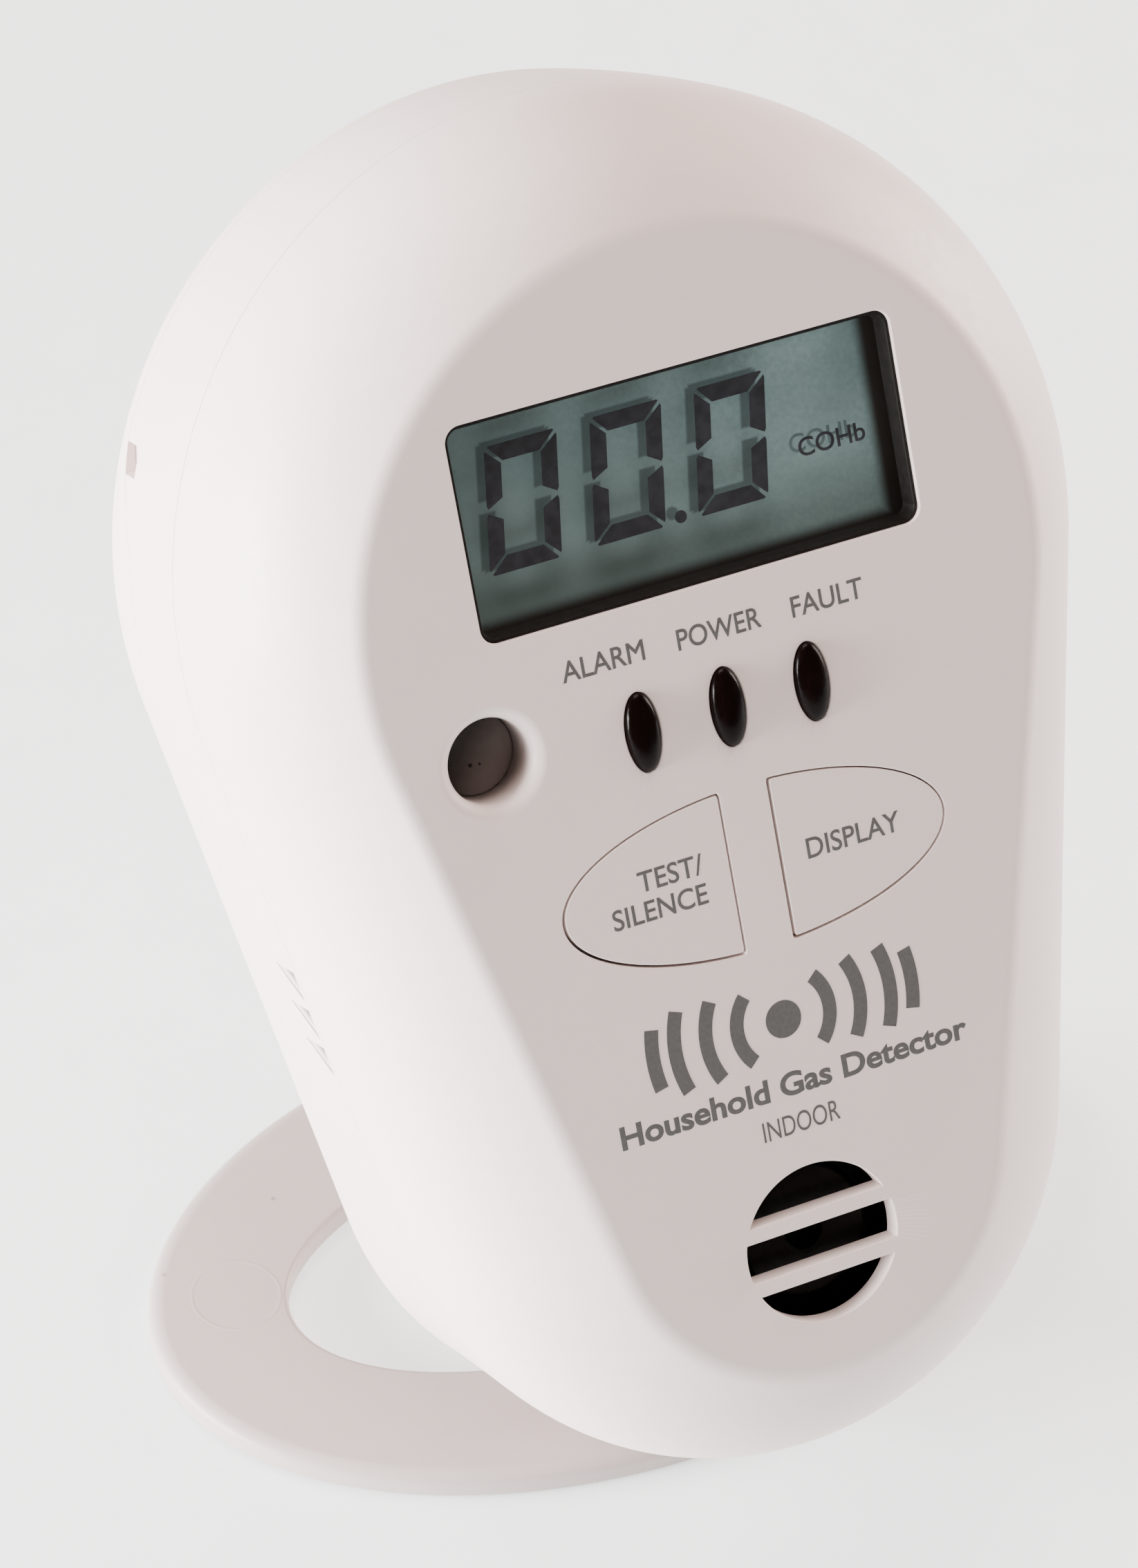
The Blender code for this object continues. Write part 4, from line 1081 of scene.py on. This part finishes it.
class DETECTOR_OT_stand(bpy.types.Operator):
    """Oval ring stand with its two ears, and the pin they turn on"""
    bl_idname = "detector.stand"
    bl_label = "Ring stand"

    def execute(self, context):
        piece("stand_band", stand_mesh(), "stand", "stand", ["stand_ring"], PIN_PLACE)
        half = (PIN_HIGH.x - PIN_LOW.x) / 2
        piece("pivot_pin", along_x("pivot_pin", PIN_R, -half, half), "screw_steel", "housing",
              ["hinge_pin"], PIN_PLACE)
        return {"FINISHED"}


# ---------------------------------------------------------------- buttons and printing
def button_mesh(side):
    """A cap that sits a hair off the middle of its hole, with a flange behind the face."""
    shift, gap, flange_out, flange_y = 0.00004, 0.00016, 0.0010, (0.0023, 0.0033)
    cap = [(x + shift, z + shift) for x, z in half_button(side, -gap)]
    flange = half_button(side, flange_out)
    rows = eased(cap, 0.00010, 0.0, grow=-1) + [at(cap, flange_y[0])]
    return solid("button_cap", rows + [at(flange, y) for y in flange_y])


def text_mesh(words, weight):
    """The words as a thin solid about one unit tall, flat in X and Y."""
    curve = bpy.data.curves.new("words", "FONT")
    curve.body = words
    curve.extrude = TEXT_EXTRUDE
    curve.bevel_depth = weight
    curve.bevel_resolution = 0
    curve.resolution_u = 6
    text = bpy.data.objects.new("words", curve)
    bpy.context.scene.collection.objects.link(text)
    graph = bpy.context.evaluated_depsgraph_get()
    mesh = bpy.data.meshes.new_from_object(text.evaluated_get(graph))
    bpy.data.objects.remove(text)
    bm = bmesh.new()
    bm.from_mesh(mesh)
    bmesh.ops.remove_doubles(bm, verts=bm.verts, dist=0.00002)
    bm.to_mesh(mesh)
    bm.free()
    return mesh


def capital_height(weight):
    return max(vertex.co.y for vertex in text_mesh("H", weight).vertices)


def lettering(name, words, left, right, base, capital, body, look="ink",
              weight=TEXT_WEIGHT, front=0.0, thick=None):
    """Words that fill the width from left to right on a base line, as a thin layer of ink."""
    mesh = text_mesh(words, weight)
    thick = thick or sizes().print_lift * 2
    xs = [vertex.co.x for vertex in mesh.vertices]
    low, wide = min(xs), max(xs) - min(xs)
    up = capital / capital_height(weight)
    for vertex in mesh.vertices:
        x, z, lift = vertex.co
        vertex.co = (left + (x - low) * (right - left) / wide,
                     front - lift / (TEXT_EXTRUDE + weight) * thick / 2, base + z * up)
    return piece(name, mesh, look, body)


def wave_mesh():
    """A dot between nested arcs, the general sign for a sounding alarm."""
    z, stroke, lift = -0.0460, 0.00062, sizes().print_lift
    outlines = [circle(0, z, 0.0016, 48)]
    for r, reach in ((0.0042, 0.74), (0.0070, 0.50), (0.0098, 0.36), (0.0118, 0.22)):
        for middle in (0.0, math.pi):
            outer = arc_points(0, z, r + stroke, middle - reach, middle + reach, 28)
            inner = arc_points(0, z, r - stroke, middle + reach, middle - reach, 28)
            outlines.append(outer + inner)
    return slabs("alarm_sign", outlines, -lift, lift)


class DETECTOR_OT_buttons(bpy.types.Operator):
    """The two halves of the split push button, with their wording"""
    bl_idname = "detector.buttons"
    bl_label = "Push buttons"

    def execute(self, context):
        for word, side in (("test", -1), ("display", 1)):
            piece(f"{word}_cap", button_mesh(side), "cap", f"{word}_button", [f"{word}_button"])
        for name, words, left, right, base, body in WORDS_ON_BUTTONS:
            lettering(name, words, left, right, base, sizes().capital, body)
        return {"FINISHED"}


class DETECTOR_OT_printing(bpy.types.Operator):
    """Plain wording over the lights, and a plain alarm sign in place of a maker's block"""
    bl_idname = "detector.printing"
    bl_label = "Printing on the face"

    def execute(self, context):
        capital = sizes().capital
        for name, words, left, right, base, body in WORDS_OVER_LIGHTS:
            lettering(name, words, left, right, base, capital, body)
        piece("alarm_sign", wave_mesh(), "ink", "housing")
        lettering("word_kind", "Household Gas Detector", -0.0158, 0.0160, -0.0525, 0.00195, "housing",
                  weight=0.030)
        lettering("word_place", "INDOOR", -0.0035, 0.0035, -0.0558, capital, "housing", weight=0.0)
        return {"FINISHED"}


# ---------------------------------------------------------------- display
def segment_outlines():
    """The six lit segments of a nought, about its own middle and upright."""
    half_x, half_z = DIGIT_HALF
    stroke, slit, ease = DIGIT_STROKE, 0.00016, 0.00022
    bar = [(-half_x + slit + ease, half_z), (half_x - slit - ease, half_z),
           (half_x - slit - ease * 0.4, half_z - ease * 0.5), (half_x - stroke - slit, half_z - stroke),
           (-half_x + stroke + slit, half_z - stroke), (-half_x + slit + ease * 0.4, half_z - ease * 0.5)]
    post = [(half_x - ease * 0.3, half_z - slit - ease), (half_x, half_z - slit - ease * 1.8),
            (half_x, 0.00045), (half_x - ease * 0.6, 0.00018), (half_x - stroke, 0.00086),
            (half_x - stroke, half_z - stroke - slit)]
    shapes = [bar, [(x, -z) for x, z in bar]]
    shapes += [[(sx * x, sz * z) for x, z in post] for sx in (-1, 1) for sz in (-1, 1)]
    return shapes


def digit_outlines(x):
    """A nought's segments, slanted and put in their place."""
    return [[(x + px + pz * DIGIT_SLANT, DIGIT_Z + pz) for px, pz in outline]
            for outline in segment_outlines()]


def bezel_mesh():
    """Black frame down the window's sides, with a lip over the display's edge."""
    half_x, half_z = LCD_HALF
    nose = 0.00002
    steps = [(nose + 0.0001, 0.00034), (nose, 0.00044), (nose, 0.0016), (-0.0014, 0.0016), (-0.0014, 0.0019),
             (0.00055, 0.0019), (0.00050, 0.0017), (0.00036, 0.00050), (0.00028, 0.00034)]
    loops = []
    for inset, y in steps:
        corner = max(0.0006, LCD_CORNER - inset)
        loops.append(at(rounded_box(0, 0, half_x - inset, half_z - inset, corner), y))
    return tube("window_frame", loops)


class DETECTOR_OT_display(bpy.types.Operator):
    """Window frame, display backing, digits with their shadow, and the unit beside them"""
    bl_idname = "detector.display"
    bl_label = "Display"

    def execute(self, context):
        piece("window_frame", bezel_mesh(), "bezel", "housing", ["lcd_bezel"])
        backing = prism("display_backing", rounded_box(0, 0, *PANEL_HALF, 0.002), PANEL_Y, PANEL_BACK_Y)
        piece("display_backing", backing, "backing", "housing", ["lcd_glass"])
        parts = [(f"digit_{number}", digit_outlines(x)) for number, x in enumerate(DIGIT_X, start=1)]
        parts.append(("decimal_point", [circle(*POINT_AT, POINT_R, 40)]))
        for name, outlines in parts:
            piece(name, slabs(name, outlines, GLASS_Y, GLASS_Y + SEGMENT_THICK), "segment", "housing")
        for name, look, y in (("unit", "segment", GLASS_Y), ("unit_shadow", "segment_shadow", PANEL_Y)):
            lettering(name, "COHb", 0.0108, 0.0168, -0.00165, 0.0015, "housing", look,
                      front=y, thick=SEGMENT_THICK)
        return {"FINISHED"}


# ---------------------------------------------------------------- lights, port and sounder
def lens_mesh(x):
    """A domed lens with a flange behind the face."""
    a, b = LED_HALF
    dome, flange_out, flange_y, steps = 0.0009, 0.0008, (0.0022, 0.0030), 11
    rows = []
    for i in range(steps + 1):
        t = math.radians(6 + 84 * i / steps)
        rows.append(at(ellipse(x, LED_Z, a * math.sin(t), b * math.sin(t)), -dome * math.cos(t)))
    rows.append(at(ellipse(x, LED_Z, a, b), flange_y[0]))
    flange = ellipse(x, LED_Z, a + flange_out, b + flange_out)
    return solid("lens", rows + [at(flange, y) for y in flange_y])


class DETECTOR_OT_lights(bpy.types.Operator):
    """Three smoked lenses over the alarm, power and fault lights"""
    bl_idname = "detector.lights"
    bl_label = "Light lenses"

    def execute(self, context):
        for step, word in ((-1, "alarm"), (0, "power"), (1, "fault")):
            piece(f"lens_{word}", lens_mesh(step * LED_PITCH), "lens", "housing",
                  [f"led_lens_{word}"])
        return {"FINISHED"}


class DETECTOR_OT_port(bpy.types.Operator):
    """Dark insert at the bottom of the round light port"""
    bl_idname = "detector.port"
    bl_label = "Light port insert"

    def execute(self, context):
        mesh = turned("port_floor", PORT_FLOOR, PORT_X, PORT_Z, 64)
        piece("port_floor", mesh, "port", "housing", ["port_insert"])
        return {"FINISHED"}


class DETECTOR_OT_sounder(bpy.types.Operator):
    """Black sounder seen through the grille, with a raised nose and a mouth in it"""
    bl_idname = "detector.sounder"
    bl_label = "Sounder"

    def execute(self, context):
        piece("sounder_body", turned("sounder_body", SOUNDER, 0.0, GRILLE_Z), "sounder", "housing",
              ["sounder_case"])
        return {"FINISHED"}


# ---------------------------------------------------------------- screws and inner parts
def screw_mesh(x, z):
    """Pan-head screw seen from behind, with a cross recess."""
    arm, thin = 0.0014, 0.00030
    slots = [("DIFFERENCE", prism("slot", rounded_box(x, z, *half, 0.0001, 2), 0.0326, 0.0345))
             for half in ((arm, thin), (thin, arm))]
    return carve(turned("plate_screw", SCREW, x, z, 48), slots)


class DETECTOR_OT_screws(bpy.types.Operator):
    """The two screws that hold the back plate"""
    bl_idname = "detector.screws"
    bl_label = "Plate screws"

    def execute(self, context):
        x, z = PLATE_SCREW
        for side, word in ((-1, "left"), (1, "right")):
            piece(f"back_screw_{word}", screw_mesh(side * x, z), "screw_steel", "housing",
                  [f"plate_screw_{word}"])
        return {"FINISHED"}


class DETECTOR_OT_inner_parts(bpy.types.Operator):
    """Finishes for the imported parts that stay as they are, by their record slot"""
    bl_idname = "detector.inner_parts"
    bl_label = "Inner parts"

    def execute(self, context):
        for entry in frame["record"]["subparts"]:
            node = frame["nodes"][entry["node"]]
            slot = entry["material_slot"]
            name = f"{slot}_inner"
            look = bpy.data.materials.get(name) or SLOT_FINISHES[slot](name)
            if not node.material_slots:
                node.data.materials.append(look)
            for holder in node.material_slots:
                holder.material = look
        return {"FINISHED"}


# ---------------------------------------------------------------- stage
def soft_light(name, place, target, width, height, power, colour):
    data = bpy.data.lights.new(name, "AREA")
    data.shape = "RECTANGLE"
    data.size, data.size_y = width, height
    data.energy = power
    data.color = colour
    lamp = bpy.data.objects.new(name, data)
    bpy.context.scene.collection.objects.link(lamp)
    lamp.location = place
    lamp.rotation_euler = (Vector(target) - Vector(place)).to_track_quat("-Z", "Y").to_euler()


class DETECTOR_OT_stage(bpy.types.Operator):
    """Pale floor, soft lights and the camera"""
    bl_idname = "detector.stage"
    bl_label = "Stage"

    def execute(self, context):
        mesh = bpy.data.meshes.new("floor")
        corners = ((-1, -1), (1, -1), (1, 1), (-1, 1))
        mesh.from_pydata([(x * FLOOR_REACH, y * FLOOR_REACH, 0) for x, y in corners], [], [(0, 1, 2, 3)])
        mesh.materials.append(finish("floor"))
        floor = bpy.data.objects.new("floor", mesh)
        context.scene.collection.objects.link(floor)
        floor.location.z = -FLOOR_DROP
        world = bpy.data.worlds.new("studio")
        context.scene.world = world
        world.use_nodes = True
        sky = world.node_tree.nodes["Background"]
        sky.inputs["Color"].default_value = (*WARM, 1.0)
        sky.inputs["Strength"].default_value = SKY_STRENGTH
        for light in LIGHTS:
            soft_light(*light)
        data = bpy.data.cameras.new("camera")
        data.sensor_width = 36.0
        data.lens = CAMERA_LENS
        data.clip_start, data.clip_end = 0.01, 20.0
        camera = bpy.data.objects.new("camera", data)
        context.scene.collection.objects.link(camera)
        camera.location = CAMERA_AT
        camera.rotation_euler = [math.radians(angle) for angle in CAMERA_TURN]
        context.scene.camera = camera
        return {"FINISHED"}


STEPS = (DETECTOR_OT_inner_parts, DETECTOR_OT_front_cover, DETECTOR_OT_rear_cover, DETECTOR_OT_back_plate,
         DETECTOR_OT_stand, DETECTOR_OT_buttons, DETECTOR_OT_display, DETECTOR_OT_lights, DETECTOR_OT_port,
         DETECTOR_OT_sounder, DETECTOR_OT_screws, DETECTOR_OT_printing, DETECTOR_OT_stage)


class DETECTOR_PT_sidebar(bpy.types.Panel):
    """Lists the detector's sizes, colours and building steps"""
    bl_idname = "DETECTOR_PT_sidebar"
    bl_label = "Detector"
    bl_space_type = "VIEW_3D"
    bl_region_type = "UI"
    bl_category = "Detector"

    def draw(self, context):
        for group in (context.scene.detector_sizes, context.scene.detector_colours):
            for name in group.__annotations__:
                self.layout.prop(group, name)
        for step in STEPS:
            self.layout.operator(step.bl_idname)


CLASSES = (DetectorSizes, DetectorColours, *STEPS, DETECTOR_PT_sidebar)


def register():
    for item in CLASSES:
        bpy.utils.register_class(item)
    bpy.types.Scene.detector_sizes = bpy.props.PointerProperty(type=DetectorSizes)
    bpy.types.Scene.detector_colours = bpy.props.PointerProperty(type=DetectorColours)


def unregister():
    del bpy.types.Scene.detector_colours
    del bpy.types.Scene.detector_sizes
    for item in reversed(CLASSES):
        bpy.utils.unregister_class(item)


def main():
    register()
    for step in STEPS:
        group, call = step.bl_idname.split(".")
        getattr(getattr(bpy.ops, group), call)()


if __name__ == "__main__":
    main()
